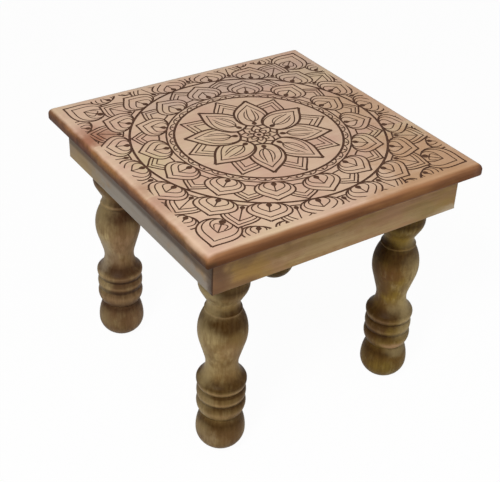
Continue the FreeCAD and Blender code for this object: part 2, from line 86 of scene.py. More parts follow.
def makeCamera():
    data = bpy.data.cameras.new("pictureCamera")
    data.sensor_fit = "HORIZONTAL"
    data.sensor_width = view["sensor"]
    data.lens = view["sensor"] * view["focalPixels"] / view["pictureWidth"]
    camera = bpy.data.objects.new("pictureCamera", data)
    bpy.context.scene.collection.objects.link(camera)
    heading, dip, roll = (radians(view[key]) for key in ("heading", "dip", "roll"))
    forward = Vector((sin(heading) * cos(dip), cos(heading) * cos(dip), -sin(dip)))
    level = Vector((cos(heading), -sin(heading), 0))
    down = forward.cross(level)
    right = level * cos(roll) + down * sin(roll)
    low = down * cos(roll) - level * sin(roll)
    turn = Matrix((right, -low, -forward)).transposed()
    camera.matrix_world = Matrix.Translation(view["place"]) @ turn.to_4x4()
    bpy.context.scene.camera = camera


makeCamera()
print("camera placed")


# small helpers for shader nodes

def feed(tree, socket, value):
    if isinstance(value, bpy.types.NodeSocket):
        tree.links.new(value, socket)
    else:
        socket.default_value = value


def addNode(tree, kind, values=None, **settings):
    node = tree.nodes.new("ShaderNode" + kind)
    for name, value in settings.items():
        setattr(node, name, value)
    for name, value in (values or {}).items():
        feed(tree, node.inputs[name], value)
    return node


def sums(tree, operation, *values, clamp=False):
    node = addNode(tree, "Math", operation=operation, use_clamp=clamp)
    for socket, value in zip(node.inputs, values):
        feed(tree, socket, value)
    return node.outputs[0]


def vectorSums(tree, operation, first, second):
    return addNode(tree, "VectorMath", {0: first, 1: second}, operation=operation).outputs[0]


def scaled(tree, vector, factor):
    return addNode(tree, "VectorMath", {0: vector, "Scale": factor}, operation="SCALE").outputs[0]


def parted(tree, vector):
    return addNode(tree, "SeparateXYZ", {"Vector": vector}).outputs


def joined(tree, *axes):
    return addNode(tree, "CombineXYZ", dict(zip("XYZ", axes))).outputs[0]


def srgb(colour):
    # a colour as it is seen, 0 to 255, turned into linear values
    shares = [value / 255 for value in colour]
    return tuple(s / 12.92 if s <= 0.04045 else ((s + 0.055) / 1.055) ** 2.4 for s in shares) + (1.0,)


def mixColour(tree, share, first, second, strength=None):
    # two colours, each a socket or a colour as seen; strength makes the second one's share smaller
    if strength is not None:
        share = sums(tree, "MULTIPLY", share, strength)
    node = addNode(tree, "Mix", {0: share}, data_type="RGBA")
    for number, colour in ((6, first), (7, second)):
        feed(tree, node.inputs[number], srgb(colour) if isinstance(colour, tuple) else colour)
    return node.outputs[2]


def spread(tree, value, low, high, toLow=0.0, toHigh=1.0):
    # a value between two bounds, taken smoothly to another pair
    bounds = {"Value": value, "From Min": low, "From Max": high, "To Min": toLow, "To Max": toHigh}
    return addNode(tree, "MapRange", bounds, interpolation_type="SMOOTHSTEP").outputs["Result"]


def cloudOf(tree, place, detail=3.0, roughness=0.5):
    values = {"Vector": place, "Scale": 1.0, "Detail": detail, "Roughness": roughness}
    return addNode(tree, "TexNoise", values).outputs


def wandered(tree, place, cloud, wander, reach):
    # a place moved about by a cloud's colour
    centred = vectorSums(tree, "SUBTRACT", cloud["Color"], (0.5, 0.5, 0.5))
    return vectorSums(tree, "ADD", place, scaled(tree, centred, sums(tree, "MULTIPLY", wander, reach)))


def newGroup(name, inputs, outputs):
    tree = bpy.data.node_groups.new(name, "ShaderNodeTree")
    for label, value in inputs.items():
        kind = "NodeSocketVector" if isinstance(value, tuple) else "NodeSocketFloat"
        tree.interface.new_socket(label, in_out="INPUT", socket_type=kind).default_value = value
    for label in outputs:
        tree.interface.new_socket(label, in_out="OUTPUT", socket_type="NodeSocketFloat")
    return tree, tree.nodes.new("NodeGroupInput").outputs, tree.nodes.new("NodeGroupOutput").inputs


def useGroup(tree, group, values):
    node = addNode(tree, "Group", node_tree=group)
    for name, value in values.items():
        feed(tree, node.inputs[name], value)
    return node.outputs


# noise per metre along, across and through the wood, and its detail
grainNoise = {
    "bend": ((6.0, 30.0, 30.0), 2.0),
    "streaks": ((14.0, 340.0, 340.0), 3.0),
    "fibre": ((28.0, 900.0, 900.0), 3.0),
    "pores": ((140.0, 1500.0, 1500.0), 1.0),
}


def makeWoodFigure():
    # growth rings, streaks, fibres and pores; Grain Place is metres along, across and through the wood
    inputs = {"Grain Place": (0.0, 0.0, 0.0), "Ring Spacing": 0.006, "Wander": 0.5, "Pith Depth": 0.05}
    tree, given, result = newGroup("woodFigure", inputs, ("Rings", "Streaks", "Fibre", "Pores", "Height"))
    place = given["Grain Place"]
    clouds = {}
    for name, (scale, detail) in grainNoise.items():
        clouds[name] = cloudOf(tree, vectorSums(tree, "MULTIPLY", place, scale), detail)
    parts = parted(tree, wandered(tree, place, clouds["bend"], given["Wander"], 0.05))
    depth = sums(tree, "ADD", parts["Z"], given["Pith Depth"])
    across = sums(tree, "MULTIPLY_ADD", parts["X"], 0.03, parts["Y"])  # the pith runs a little askew
    squares = sums(tree, "MULTIPLY_ADD", depth, depth, sums(tree, "MULTIPLY", across, across))
    share = sums(tree, "FRACT", sums(tree, "DIVIDE", sums(tree, "SQRT", squares), given["Ring Spacing"]))
    late = sums(tree, "POWER", share, 2.2)
    fine = clouds["fibre"]["Fac"]
    pores = spread(tree, clouds["pores"]["Fac"], 0.66, 0.78)
    feed(tree, result["Rings"], sums(tree, "MULTIPLY", late, spread(tree, share, 0.9, 1.0, 1.0, 0.0)))
    feed(tree, result["Streaks"], spread(tree, clouds["streaks"]["Fac"], 0.36, 0.66))
    feed(tree, result["Fibre"], fine)
    feed(tree, result["Pores"], pores)
    feed(tree, result["Height"], sums(tree, "SUBTRACT", sums(tree, "MULTIPLY", fine, 0.5), pores))
    return tree


stainInputs = {"Size": 0.06, "Stretch": 2.5, "Offset": 0.0, "Low": 0.45, "High": 0.65}


def makeStain():
    # broad clouds of finish that took unevenly, drawn out along the grain
    tree, given, result = newGroup("stain", {"Grain Place": (0.0, 0.0, 0.0), **stainInputs}, ("Mask",))
    parts = parted(tree, given["Grain Place"])
    drawn = joined(tree, sums(tree, "DIVIDE", parts["X"], given["Stretch"]), parts["Y"], parts["Z"])
    sized = scaled(tree, drawn, sums(tree, "DIVIDE", 1.0, given["Size"]))
    shift = joined(tree, *[given["Offset"]] * 3)
    cloud = cloudOf(tree, vectorSums(tree, "ADD", sized, shift), roughness=0.55)["Fac"]
    feed(tree, result["Mask"], spread(tree, cloud, given["Low"], given["High"]))
    return tree


def makePatch():
    # one patch with a ragged border, used for stains and for painted light and shade, at a place on the
    # piece, in millimetres
    inputs = {"Spot": (0.0, 0.0, 0.0), "Centre": (0.0, 0.0, 0.0), "Reach": (20.0, 20.0, 20.0), "Wander": 0.5}
    tree, given, result = newGroup("patch", inputs, ("Mask",))
    cloud = cloudOf(tree, scaled(tree, given["Spot"], 0.055), roughness=0.6)
    away = vectorSums(tree, "SUBTRACT", given["Spot"], given["Centre"])
    away = vectorSums(tree, "DIVIDE", away, given["Reach"])
    ragged = wandered(tree, away, cloud, given["Wander"], 4.0)
    far = addNode(tree, "VectorMath", {0: ragged}, operation="LENGTH").outputs["Value"]
    feed(tree, result["Mask"], spread(tree, far, 0.25, 1.15, 1.0, 0.0))
    return tree


woodFigure = makeWoodFigure()
stain = makeStain()
patch = makePatch()


def clearedTree(owner):
    owner.use_nodes = True
    owner.node_tree.nodes.clear()
    return owner.node_tree


def startMaterial(name):
    material = bpy.data.materials.new(name)
    tree = clearedTree(material)
    shader = addNode(tree, "BsdfPrincipled")
    addNode(tree, "OutputMaterial", {"Surface": shader.outputs[0]})
    return material, tree, shader


def attribute(tree, name, output="Fac"):
    return addNode(tree, "Attribute", attribute_name=name).outputs[output]


def ownPlace(tree):
    return addNode(tree, "TexCoord").outputs["Object"]


def figureAt(tree, place, look):
    values = {"Ring Spacing": "ringSpacing", "Wander": "wander", "Pith Depth": "pithDepth"}
    given = {label: look[key] for label, key in values.items()}
    return useGroup(tree, woodFigure, {"Grain Place": place, **given})


def startWood(name, look):
    material, tree, shader = startMaterial(name)
    place = attribute(tree, "grainPlace", "Vector")
    return material, tree, shader, place, figureAt(tree, place, look)


def cloudMask(tree, place, values):
    return useGroup(tree, stain, {"Grain Place": place, **dict(zip(stainInputs, values))})["Mask"]


def stained(tree, colour, place, look, clouds):
    # clouds of stain over a colour: (tone, strength, size, stretch, offset, low, high)
    for tone, strength, *values in clouds:
        colour = mixColour(tree, cloudMask(tree, place, values), colour, look[tone], strength)
    return colour


def patched(tree, colour, spot, look, patches, wander=0.45):
    # patches at given places, stains and also painted light and shade, in millimetres: (x, y, z, reach in x,
    # y and z, tone, strength)
    for *where, tone, strength in patches:
        values = {"Spot": spot, "Centre": where[:3], "Reach": where[3:], "Wander": wander}
        colour = mixColour(tree, useGroup(tree, patch, values)["Mask"], colour, look[tone], strength)
    return colour


def flatPatches(rows, level=0, through=30):
    # patches on a flat face, given as (x, y, reach in x and y, tone, strength)
    return [(x, y, level, reachX, reachY, through, *rest) for x, y, reachX, reachY, *rest in rows]


def finishSurface(tree, shader, colour, height, look):
    bumped = addNode(tree, "Bump", {"Height": height, "Strength": look["bump"], "Distance": 0.0004})
    values = {"Base Color": colour, "Normal": bumped.outputs["Normal"], "Roughness": look["roughness"],
              "Specular IOR Level": look["specular"]}
    for name, value in values.items():
        feed(tree, shader.inputs[name], value)


# the top: three boards, light and nearly bare on the flat, stained on the moulded edge, with painted shade on
# the edge's lower part

topLook = {
    "pale": (222, 191, 164), "deep": (206, 170, 140), "bare": (226, 195, 167), "rose": (206, 164, 144),
    "plum": (196, 170, 158), "orange": (193, 150, 112), "moss": (206, 190, 144), "grey": (186, 174, 158),
    "red": (162, 108, 82), "pore": (176, 138, 110), "raw": (192, 156, 118), "rawDeep": (152, 112, 76),
    "edgeUpper": (160, 114, 78), "edgeBrown": (116, 76, 47), "edgeLow": (100, 61, 31),
    "edgeTan": (152, 108, 62), "edgeOlive": (122, 98, 62), "edgePlum": (112, 77, 56),
    "edgeRed": (106, 62, 40), "edgeDark": (58, 31, 13),
    "ringSpacing": 0.011, "wander": 0.6, "pithDepth": 0.09,
    "rings": 0.35, "fibre": (0.35, 0.65, 0.0, 0.25), "pores": 0.1, "edgeStreaks": 0.2,
    "rawRings": 0.6, "rawStreaks": 0.5,
    "roughness": 0.5, "bump": 0.2, "specular": 0.08,
    # between which shares of the way from the flat to the underside each colour comes in
    "edgeRun": (0.08, 0.29), "brownRun": (0.24, 0.46), "lowRun": (0.45, 0.62), "rawRun": (0.985, 0.999),
    # how far that border wavers, and how far lower it is at the end grain on the left, by x
    "waver": 0.04, "waverCloud": (0.012, 4.0, 8.0, 0.3, 0.7), "leftEnd": (-150.0, -141.0, -0.07, 0.0),
    "clouds": [("rose", 0.6, 0.035, 1.8, 0.0, 0.42, 0.66), ("moss", 0.3, 0.06, 1.6, 3.1, 0.5, 0.68)],
    "edgeClouds": [("edgeDark", 0.25, 0.012, 5.0, 5.0, 0.45, 0.7)],
    "level": 267,
    "patches": {
        "front_plank": [
            (120, -110, 80, 80, "orange", 0.75), (90, -148, 90, 20, "orange", 0.8),
            (-60, -120, 60, 26, "bare", 0.5), (-146, -60, 10, 34, "red", 0.35),
        ],
        "middle_plank": [
            (-118, 6, 24, 30, "moss", 0.55), (-146, -30, 9, 18, "red", 0.5),
            (135, 0, 60, 70, "orange", 0.5), (-30, -10, 50, 30, "moss", 0.25),
        ],
        "back_plank": [
            (-150, 70, 40, 18, "red", 0.9), (40, 105, 150, 30, "plum", 0.5), (-138, 88, 12, 12, "red", 0.4),
            (-120, 128, 40, 26, "pale", 0.5), (0, 152, 170, 8, "grey", 0.6),
        ],
    },
    "edgePatches": {
        # the long dark patches low along the left side and the dark one at the front-left corner are painted
        # shade under the moulding
        "front_plank": [
            (60, -152, 259, 60, 20, 5, "edgeTan", 0.3), (152, -152, 259, 22, 16, 9, "edgePlum", 0.8),
            (154, -152, 260, 10, 14, 9, "edgeDark", 0.65), (-152, -152, 254, 30, 30, 7, "edgeDark", 0.5),
            (-152, -110, 258, 12, 60, 9, "edgeOlive", 0.4), (-152, -70, 259, 12, 30, 9, "edgePlum", 0.5),
            (-152, -60, 252, 12, 300, 10, "edgeDark", 0.85),
        ],
        "middle_plank": [
            (-152, 30, 261, 14, 36, 10, "edgeTan", 0.55), (-152, -20, 259, 12, 36, 9, "edgePlum", 0.45),
            (-152, 0, 252, 12, 300, 10, "edgeDark", 0.8),
        ],
        "back_plank": [
            (-152, 72, 260, 16, 22, 9, "edgeRed", 0.8), (-152, 70, 252, 12, 300, 11, "edgeDark", 0.9),
            (-152, 130, 261, 14, 26, 12, "edgePlum", 0.45), (-153, 140, 263, 9, 26, 8, "edgeDark", 0.4),
        ],
    },
    # where the arris is rubbed bare again, with a firmer border
    "rubbed": {"front_plank": [(-154, -130, 267, 10, 24, 5.5, "bare", 0.7)]},
    "rubbedWander": 0.12,
}


def makeTopWood(board):
    look = topLook
    material, tree, shader, place, figure = startWood(board + "_wood", look)
    spot = scaled(tree, ownPlace(tree), 1 / mm)
    colour = mixColour(tree, figure["Rings"], look["pale"], look["deep"], look["rings"])
    colour = mixColour(tree, spread(tree, figure["Fibre"], *look["fibre"]), colour, look["deep"])
    colour = stained(tree, colour, place, look, look["clouds"])
    colour = patched(tree, colour, spot, look, flatPatches(look["patches"][board], look["level"]))
    colour = mixColour(tree, figure["Pores"], colour, look["pore"], look["pores"])

    run = attribute(tree, "edgeRun")
    lap = cloudMask(tree, place, look["waverCloud"])
    held = spread(tree, parted(tree, spot)["X"], *look["leftEnd"])
    ragged = sums(tree, "ADD", sums(tree, "MULTIPLY_ADD", lap, look["waver"], run), held)
    edge = mixColour(tree, spread(tree, ragged, *look["brownRun"]), look["edgeUpper"], look["edgeBrown"])
    # the lower part of the edge is darker: stain and painted shade
    edge = mixColour(tree, spread(tree, run, *look["lowRun"]), edge, look["edgeLow"])
    edge = patched(tree, edge, spot, look, look["edgePatches"][board])
    edge = stained(tree, edge, place, look, look["edgeClouds"])
    edge = mixColour(tree, figure["Streaks"], edge, look["edgeDark"], look["edgeStreaks"])
    colour = mixColour(tree, spread(tree, ragged, *look["edgeRun"]), colour, edge)
    colour = patched(tree, colour, spot, look, look["rubbed"].get(board, []), look["rubbedWander"])
    # the underside was never stained
    under = mixColour(tree, figure["Rings"], look["raw"], look["rawDeep"], look["rawRings"])
    under = mixColour(tree, figure["Streaks"], under, look["rawDeep"], look["rawStreaks"])
    colour = mixColour(tree, spread(tree, run, *look["rawRun"]), colour, under)
    finishSurface(tree, shader, colour, figure["Height"], look)
    return material


burntLook = {
    "burn": (67, 42, 28), "thin": (98, 66, 46), "fibre": (0.35, 0.75),
    "ringSpacing": 0.004, "wander": 0.5, "pithDepth": 0.05,
    "roughness": 0.75, "bump": 0.4, "specular": 0.2,
}


def makeBurntLine():
    look = burntLook
    material, tree, shader, place, figure = startWood("burntLine", look)
    colour = mixColour(tree, spread(tree, figure["Fibre"], *look["fibre"]), look["burn"], look["thin"])
    finishSurface(tree, shader, colour, figure["Fibre"], look)
    return material


# the four boards of the frame, each stained in its own way, with painted shade under the top and a painted
# sheen on the left one; places are millimetres from the board's middle to its right, and up from its lower
# edge

apronLook = {
    "tan": (150, 120, 80), "brown": (116, 84, 50), "olive": (136, 110, 52), "moss": (128, 118, 66),
    "rose": (150, 112, 84), "dark": (88, 56, 32), "gold": (156, 120, 56), "umber": (98, 66, 44),
    "light": (166, 142, 102), "grey": (134, 129, 120), "shade": (50, 32, 18), "hay": (140, 115, 72),
    "chalk": (178, 164, 142), "seam": (50, 32, 22), "pore": (92, 66, 44),
    "ringSpacing": 0.010, "wander": 0.9, "pithDepth": 0.06,
    "rings": 0.6, "streaks": 0.4, "fibre": (0.35, 0.7, 0.0, 0.22), "pores": 0.4, "seamStrength": 0.9,
    "roughness": 0.5, "bump": 0.3, "specular": 0.15,
    "clouds": [("olive", 0.5, 0.016, 3.0, 1.7, 0.42, 0.62), ("rose", 0.45, 0.014, 3.0, 4.4, 0.45, 0.62)],
    "patches": {
        "front": [
            (-20, 12, 60, 10, "light", 0.6), (60, 8, 60, 7, "light", 0.4), (-98, 14, 26, 16, "gold", 0.6),
            (-132, 18, 15, 40, "umber", 0.8), (-118, 2, 40, 8, "umber", 0.6), (128, 1, 26, 7, "chalk", 0.7),
            (40, 18, 50, 9, "rose", 0.3), (100, 10, 34, 12, "moss", 0.35), (125, 14, 22, 20, "olive", 0.4),
            # the dark band high along the board is painted shade under the top's overhang
            (0, 40, 300, 14, "dark", 0.65), (-116, 34, 34, 16, "dark", 0.5),
        ],
        "left": [
            # the broad grey is a painted sheen, the white room reflected; the shade patches are painted
            # shadow of the top's overhang and painted shade in the near corner
            (0, 6, 300, 30, "grey", 0.9), (-105, 6, 50, 24, "hay", 0.85), (-115, 3, 40, 7, "light", 0.4),
            (75, 18.5, 90, 5, "shade", 0.6), (138, 16, 10, 60, "shade", 0.95),
        ],
        "right": [(30, 20, 60, 20, "olive", 0.5), (-60, 10, 50, 14, "light", 0.4)],
        "back": [(-50, 18, 60, 18, "olive", 0.5), (80, 16, 50, 16, "rose", 0.4)],
    },
    # the band that the top keeps from the light: between which heights it comes in, and how dark it is
    "band": (14.8, 18.6),
    "bandStrength": {"front": 0.05, "right": 0.2, "back": 0.2, "left": 0.62},
}


def makeApronWood(side):
    look = apronLook
    material, tree, shader, place, figure = startWood(side + "_apron_wood", look)
    spot = attribute(tree, "boardPlace", "Vector")
    colour = mixColour(tree, figure["Rings"], look["tan"], look["brown"], look["rings"])
    colour = mixColour(tree, figure["Streaks"], colour, look["brown"], look["streaks"])
    colour = stained(tree, colour, place, look, look["clouds"])
    # stains, and painted shade and sheen, at given places
    colour = patched(tree, colour, spot, look, flatPatches(look["patches"][side]))
    band = spread(tree, parted(tree, spot)["Y"], *look["band"], 0.0, look["bandStrength"][side])
    colour = mixColour(tree, band, colour, look["shade"])
    colour = mixColour(tree, spread(tree, figure["Fibre"], *look["fibre"]), colour, look["brown"])
    colour = mixColour(tree, figure["Pores"], colour, look["pore"], look["pores"])
    colour = mixColour(tree, attribute(tree, "seam"), colour, look["seam"], look["seamStrength"])
    finishSurface(tree, shader, colour, figure["Height"], look)
    return material


# the turned legs, dark in the grooves and light on the rims: stain and wear, partly painted shade and painted
# light

legLook = {
    "olive": (112, 94, 42), "straw": (178, 158, 112), "pale": (158, 139, 98), "yellow": (134, 108, 38),
    "red": (94, 58, 34), "pink": (150, 118, 86), "plum": (84, 58, 38), "umber": (98, 70, 36),
    # of these, the grey one is a painted sheen, the white room reflected on the legs' outer sides
    "crest": (164, 130, 94), "greySheen": (164, 148, 124), "pore": (66, 46, 24),
    # clear wood, its darker rings and streaks, and the dark in the grooves, which is stain and painted shade
    "tones": {
        "front_left": ((144, 117, 74), (112, 84, 46), (56, 35, 6)),
        "front_right": ((126, 101, 44), (94, 68, 26), (54, 33, 6)),
        "back_right": ((136, 110, 64), (104, 78, 42), (60, 40, 14)),
        "back_left": ((138, 111, 78), (108, 80, 52), (60, 38, 20)),
    },
    "ringSpacing": 0.008, "wander": 0.6, "pithDepth": 0.035,
    "rings": 0.45, "streaks": 0.25, "fibre": (0.4, 0.7, 0.0, 0.3), "pores": 0.45,
    "grooveStreaks": 0.12,  # how far the streaks make the dark in the grooves, stain and painted shade, uneven
    "roughness": 0.48, "bump": 0.35, "specular": 0.06,
    "clouds": [("olive", 0.35, 0.028, 2.2, 2.2, 0.42, 0.62)],
    "smallClouds": [("umber", 0.5, 0.012, 1.8, 6.1, 0.48, 0.66), ("straw", 0.3, 0.011, 1.8, 9.3, 0.5, 0.68)],
    # angle from +X, height, reach round, reach up, tone, strength; the straw patches on a leg's outer side
    # are painted light and the plum and umber ones on its inner side painted shade, among real stains
    "patches": {
        "front_left": [
            (186, 146, 22, 56, "straw", 0.85), (236, 104, 26, 9, "straw", 0.45),
            (236, 156, 18, 9, "red", 0.4), (236, 30, 24, 12, "red", 0.5), (196, 22, 18, 14, "greySheen", 0.4),
            (286, 104, 20, 90, "umber", 0.35), (252, 132, 12, 14, "pink", 0.35),
            (196, 182, 18, 12, "straw", 0.7), (192, 52, 15, 9, "straw", 0.5), (284, 22, 22, 26, "plum", 0.7),
            (286, 46, 15, 6, "plum", 0.6),
        ],
        "front_right": [
            (226, 180, 26, 8, "yellow", 0.6), (240, 112, 14, 18, "yellow", 0.6),
            (188, 130, 22, 28, "plum", 0.85), (226, 142, 22, 16, "red", 0.6),
            (288, 126, 16, 50, "straw", 0.6), (232, 34, 26, 9, "red", 0.4),
            (286, 86, 16, 28, "straw", 0.65), (190, 74, 24, 50, "plum", 0.85),
            (246, 20, 16, 12, "olive", 0.5), (286, 40, 15, 8, "straw", 0.5), (238, 92, 18, 10, "plum", 0.5),
        ],
        "back_left": [
            (190, 140, 18, 50, "straw", 0.8), (262, 130, 18, 30, "pink", 0.4),
            (250, 184, 24, 18, "umber", 0.6), (250, 80, 22, 22, "plum", 0.7), (245, 34, 26, 20, "red", 0.45),
            (188, 84, 16, 24, "straw", 0.6), (262, 46, 22, 8, "plum", 0.5), (245, 88, 24, 4, "plum", 0.4),
        ],
        "back_right": [
            (60, 126, 22, 36, "straw", 0.45), (30, 150, 20, 16, "red", 0.45), (90, 60, 20, 30, "plum", 0.4),
            (45, 24, 24, 12, "olive", 0.5),
        ],
    },
    # painted light, mostly on each leg's outer side, laid over the stain as well, with a firmer border
    "paintedLight": {
        "front_left": [
            (178, 195, 27, 9, "pale", 0.7), (178, 172, 22, 14, "pale", 0.5), (178, 152, 20, 10, "pale", 0.3),
            (178, 100, 20, 20, "pale", 0.5), (178, 64, 18, 22, "pale", 0.3), (178, 28, 20, 10, "pale", 0.3),
        ],
        "front_right": [
            (292, 94, 24, 16, "pale", 0.5), (292, 66, 23, 16, "pale", 0.4), (288, 42, 24, 10, "pale", 0.4),
            (292, 176, 24, 14, "pale", 0.4), (292, 150, 20, 14, "pale", 0.3),
            (236, 176, 16, 9, "yellow", 0.45), (250, 49, 14, 5, "crest", 0.8),
        ],
        "back_left": [
            (174, 164, 24, 26, "pale", 0.5), (174, 110, 24, 26, "greySheen", 0.6), (174, 70, 22, 16, "pale", 0.35),
            (174, 26, 22, 12, "pale", 0.35),
        ],
    },
    "paintedLightWander": 0.3,
    "crestStrength": {"front_left": 0.7, "front_right": 0.35, "back_right": 0.6, "back_left": 0.6},
    "spotRadius": 22,  # patches lie this far from the leg's axis
}


def legSpots(entries):
    spots = []
    for angle, height, reachRound, reachUp, *rest in entries:
        x, y = (legLook["spotRadius"] * way(radians(angle)) for way in (cos, sin))
        spots.append((x, y, height, reachRound, reachRound, reachUp, *rest))
    return spots


def makeLegWood(corner):
    look = legLook
    material, tree, shader, place, figure = startWood(corner + "_leg_wood", look)
    spot = attribute(tree, "legPlace", "Vector")
    clear, brown, groove = look["tones"][corner]
    colour = mixColour(tree, figure["Rings"], clear, brown, look["rings"])
    colour = stained(tree, colour, place, look, look["clouds"])
    # stains, and among them painted light on each leg's outer side and painted shade on its inner side
    colour = patched(tree, colour, spot, look, legSpots(look["patches"][corner]))
    colour = stained(tree, colour, place, look, look["smallClouds"])
    colour = mixColour(tree, figure["Streaks"], colour, brown, look["streaks"])
    colour = mixColour(tree, spread(tree, figure["Fibre"], *look["fibre"]), colour, brown)
    # the dark in the grooves and on upward slopes is stain and painted shade; the pale rims are wear and
    # painted light
    reach = look["grooveStreaks"]
    uneven = sums(tree, "MULTIPLY_ADD", figure["Streaks"], reach, -reach / 2)
    depth = sums(tree, "ADD", attribute(tree, "groove"), uneven, clamp=True)
    colour = mixColour(tree, depth, colour, groove)
    colour = mixColour(tree, attribute(tree, "crest"), colour, look["crest"], look["crestStrength"][corner])
    # painted light, mostly on each leg's outer side
    colour = patched(tree, colour, spot, look, legSpots(look["paintedLight"].get(corner, [])), look["paintedLightWander"])
    colour = mixColour(tree, figure["Pores"], colour, look["pore"], look["pores"])
    finishSurface(tree, shader, colour, figure["Height"], look)
    return material


battenLook = {
    "pale": (196, 160, 116), "deep": (164, 124, 82), "rings": 0.6, "fibre": (0.35, 0.7, 0.0, 0.5),
    "ringSpacing": 0.005, "wander": 0.4, "pithDepth": 0.03,
    "roughness": 0.7, "bump": 0.5, "specular": 0.25,
}


def makeBattenWood(name, along):
    # plain sanded wood for a piece that keeps its CAD solid; along is the order of X, Y and Z in the grain
    look = battenLook
    material, tree, shader = startMaterial(name)
    parts = parted(tree, ownPlace(tree))
    figure = figureAt(tree, joined(tree, *(parts[axis] for axis in along)), look)
    colour = mixColour(tree, figure["Rings"], look["pale"], look["deep"], look["rings"])
    colour = mixColour(tree, spread(tree, figure["Fibre"], *look["fibre"]), colour, look["deep"])
    finishSurface(tree, shader, colour, figure["Height"], look)
    return material


steelLook = {
    "bright": (196, 186, 158), "dull": (150, 142, 122), "scuffsPerMetre": 1800.0,
    "roughnessRange": (0.28, 0.45), "bump": 0.15, "specular": 0.3,
}


def makeScrewSteel():
    look = steelLook
    material, tree, shader = startMaterial("screwSteel")
    shader.inputs["Metallic"].default_value = 1.0
    scuff = cloudOf(tree, scaled(tree, ownPlace(tree), look["scuffsPerMetre"]))["Fac"]
    roughness = spread(tree, scuff, 0.3, 0.7, *look["roughnessRange"])
    colour = mixColour(tree, scuff, look["bright"], look["dull"])
    finishSurface(tree, shader, colour, scuff, {**look, "roughness": roughness})
    return material


burntLine = makeBurntLine()
screwSteel = makeScrewSteel()


# small helpers for meshes, which are built in millimetres

def joinRows(bm, rows, upward=False):
    # quads between closed rows of as many vertices
    count = len(rows[0])
    for a, b in zip(rows, rows[1:]):
        for i in range(count):
            j = (i + 1) % count
            bm.faces.new((a[i], a[j], b[j], b[i]) if upward else (a[i], b[i], b[j], a[j]))


def toMetres(bm):
    bmesh.ops.recalc_face_normals(bm, faces=bm.faces)
    bmesh.ops.scale(bm, vec=(mm, mm, mm), verts=bm.verts)


def pieceFrom(name, bm, materials, node, slot, **places):
    # a piece that stands for a CAD node; places are vectors that its materials read at each vertex
    mesh = bpy.data.meshes.new(name)
    for face in bm.faces:
        face.smooth = True
    bm.normal_update()
    for edge in bm.edges:
        edge.smooth = len(edge.link_faces) == 2 and edge.calc_face_angle(0.0) < smoothAngle
    bm.to_mesh(mesh)
    bm.free()
    for material in materials:
        mesh.materials.append(material)
    for label, vectors in places.items():
        layer = mesh.attributes.new(label, "FLOAT_VECTOR", "POINT")
        layer.data.foreach_set("vector", np.asarray(vectors, np.float32).ravel())
    piece = bpy.data.objects.new(name, mesh)
    bpy.context.scene.collection.objects.link(piece)
    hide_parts(node)
    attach(piece, "root")


# the line ornament on the top: strokes in millimetres from the middle, nearest motif first

ornament = {
    "half": 142.5,  # strokes end on this square
    "step": 1.5,
    "fine": 1.3,
    "line": 1.8,
    "bold": 2.5,
    "eyeDot": 2.4,
    "eyeCircle": 5.0,
    "beadCircles": (82.0, 89.5),
    "beads": 36,
    "beadPlace": 2.8,
    "beadSize": 1.3,
    "outerCircle": 124.5,
    # rings of petals: how many, turned by, foot, tip, half width, nested outlines, veins, drop, spine, width
    "eye": (8, 0.5, 5.0, 19.0, 5.2, (0.5,)),
    "lotus": (8, 0.5, 18.5, 73.0, 17.5, (0.82,), 2, 2.6, False, 2.5),
    "lotusBehind": (8, 0.0, 22.5, 79.0, 19.0, (0.88, 0.75)),
    "leaves": (14, 0.5, 89.5, 120.5, 19.0, (0.78, 0.52), 0, 2.8, True),
    "leavesBehind": (14, 0.0, 96.5, 123.0, 15.0, (0.84, 0.64)),
    "outer": (18, 0.0, 124.5, 154.0, 20.5, (0.78, 0.5), 0, 2.8, True),
    "outerBehind": (18, 0.5, 130.5, 167.0, 18.0, (0.86, 0.7), 0, 2.4, True),
    # the spray in each corner: degrees from its middle, then as above from the foot on
    "spray": [
        (0.0, 156.0, 199.0, 20.0, (0.8, 0.5), 1, 3.2, True),
        (-11.0, 162.0, 188.0, 15.0, (0.76, 0.48), 0, 2.6, True),
        (-20.0, 154.0, 176.0, 11.0, (0.7,), 0, 2.0, True),
        (11.0, 162.0, 188.0, 15.0, (0.76, 0.48), 0, 2.6, True),
        (20.0, 154.0, 176.0, 11.0, (0.7,), 0, 2.0, True),
    ],
}
strokes = []  # (points, widths)
covers = []  # closed outlines that hide what is drawn after them


def bezier(points, count=24):
    t = np.linspace(0, 1, count)[:, None]
    a, b, c, d = (np.asarray(p, float) for p in points)
    return (1 - t) ** 3 * a + 3 * (1 - t) ** 2 * t * b + 3 * (1 - t) * t ** 2 * c + t ** 3 * d


def turned(points, angle, foot=0.0):
    # points drawn along +X, moved out by foot and turned to an angle in degrees
    a = radians(angle)
    x, y = points[:, 0] + foot, points[:, 1]
    return np.stack([x * cos(a) - y * sin(a), x * sin(a) + y * cos(a)], 1)


def evenly(points, step):
    gaps = np.hypot(*np.diff(points, axis=0).T)
    length = np.concatenate([[0], np.cumsum(gaps)])
    count = max(2, int(ceil(length[-1] / step)) + 1)
    at = np.linspace(0, length[-1], count)
    return np.stack([np.interp(at, length, points[:, i]) for i in (0, 1)], 1)


def inside(points, outline):
    x, y = points[:, 0], points[:, 1]
    low, high = outline.min(0), outline.max(0)
    near = (x > low[0]) & (x < high[0]) & (y > low[1]) & (y < high[1])
    found = np.zeros(len(points), bool)
    if not near.any():
        return found
    px, py = x[near][:, None], y[near][:, None]
    ax, ay = outline[:, 0], outline[:, 1]
    bx, by = np.roll(ax, -1), np.roll(ay, -1)
    crosses = (ay > py) != (by > py)
    with np.errstate(divide="ignore", invalid="ignore"):
        hits = crosses & (px < (bx - ax) * (py - ay) / (by - ay) + ax)
    found[near] = hits.sum(1) % 2 == 1
    return found


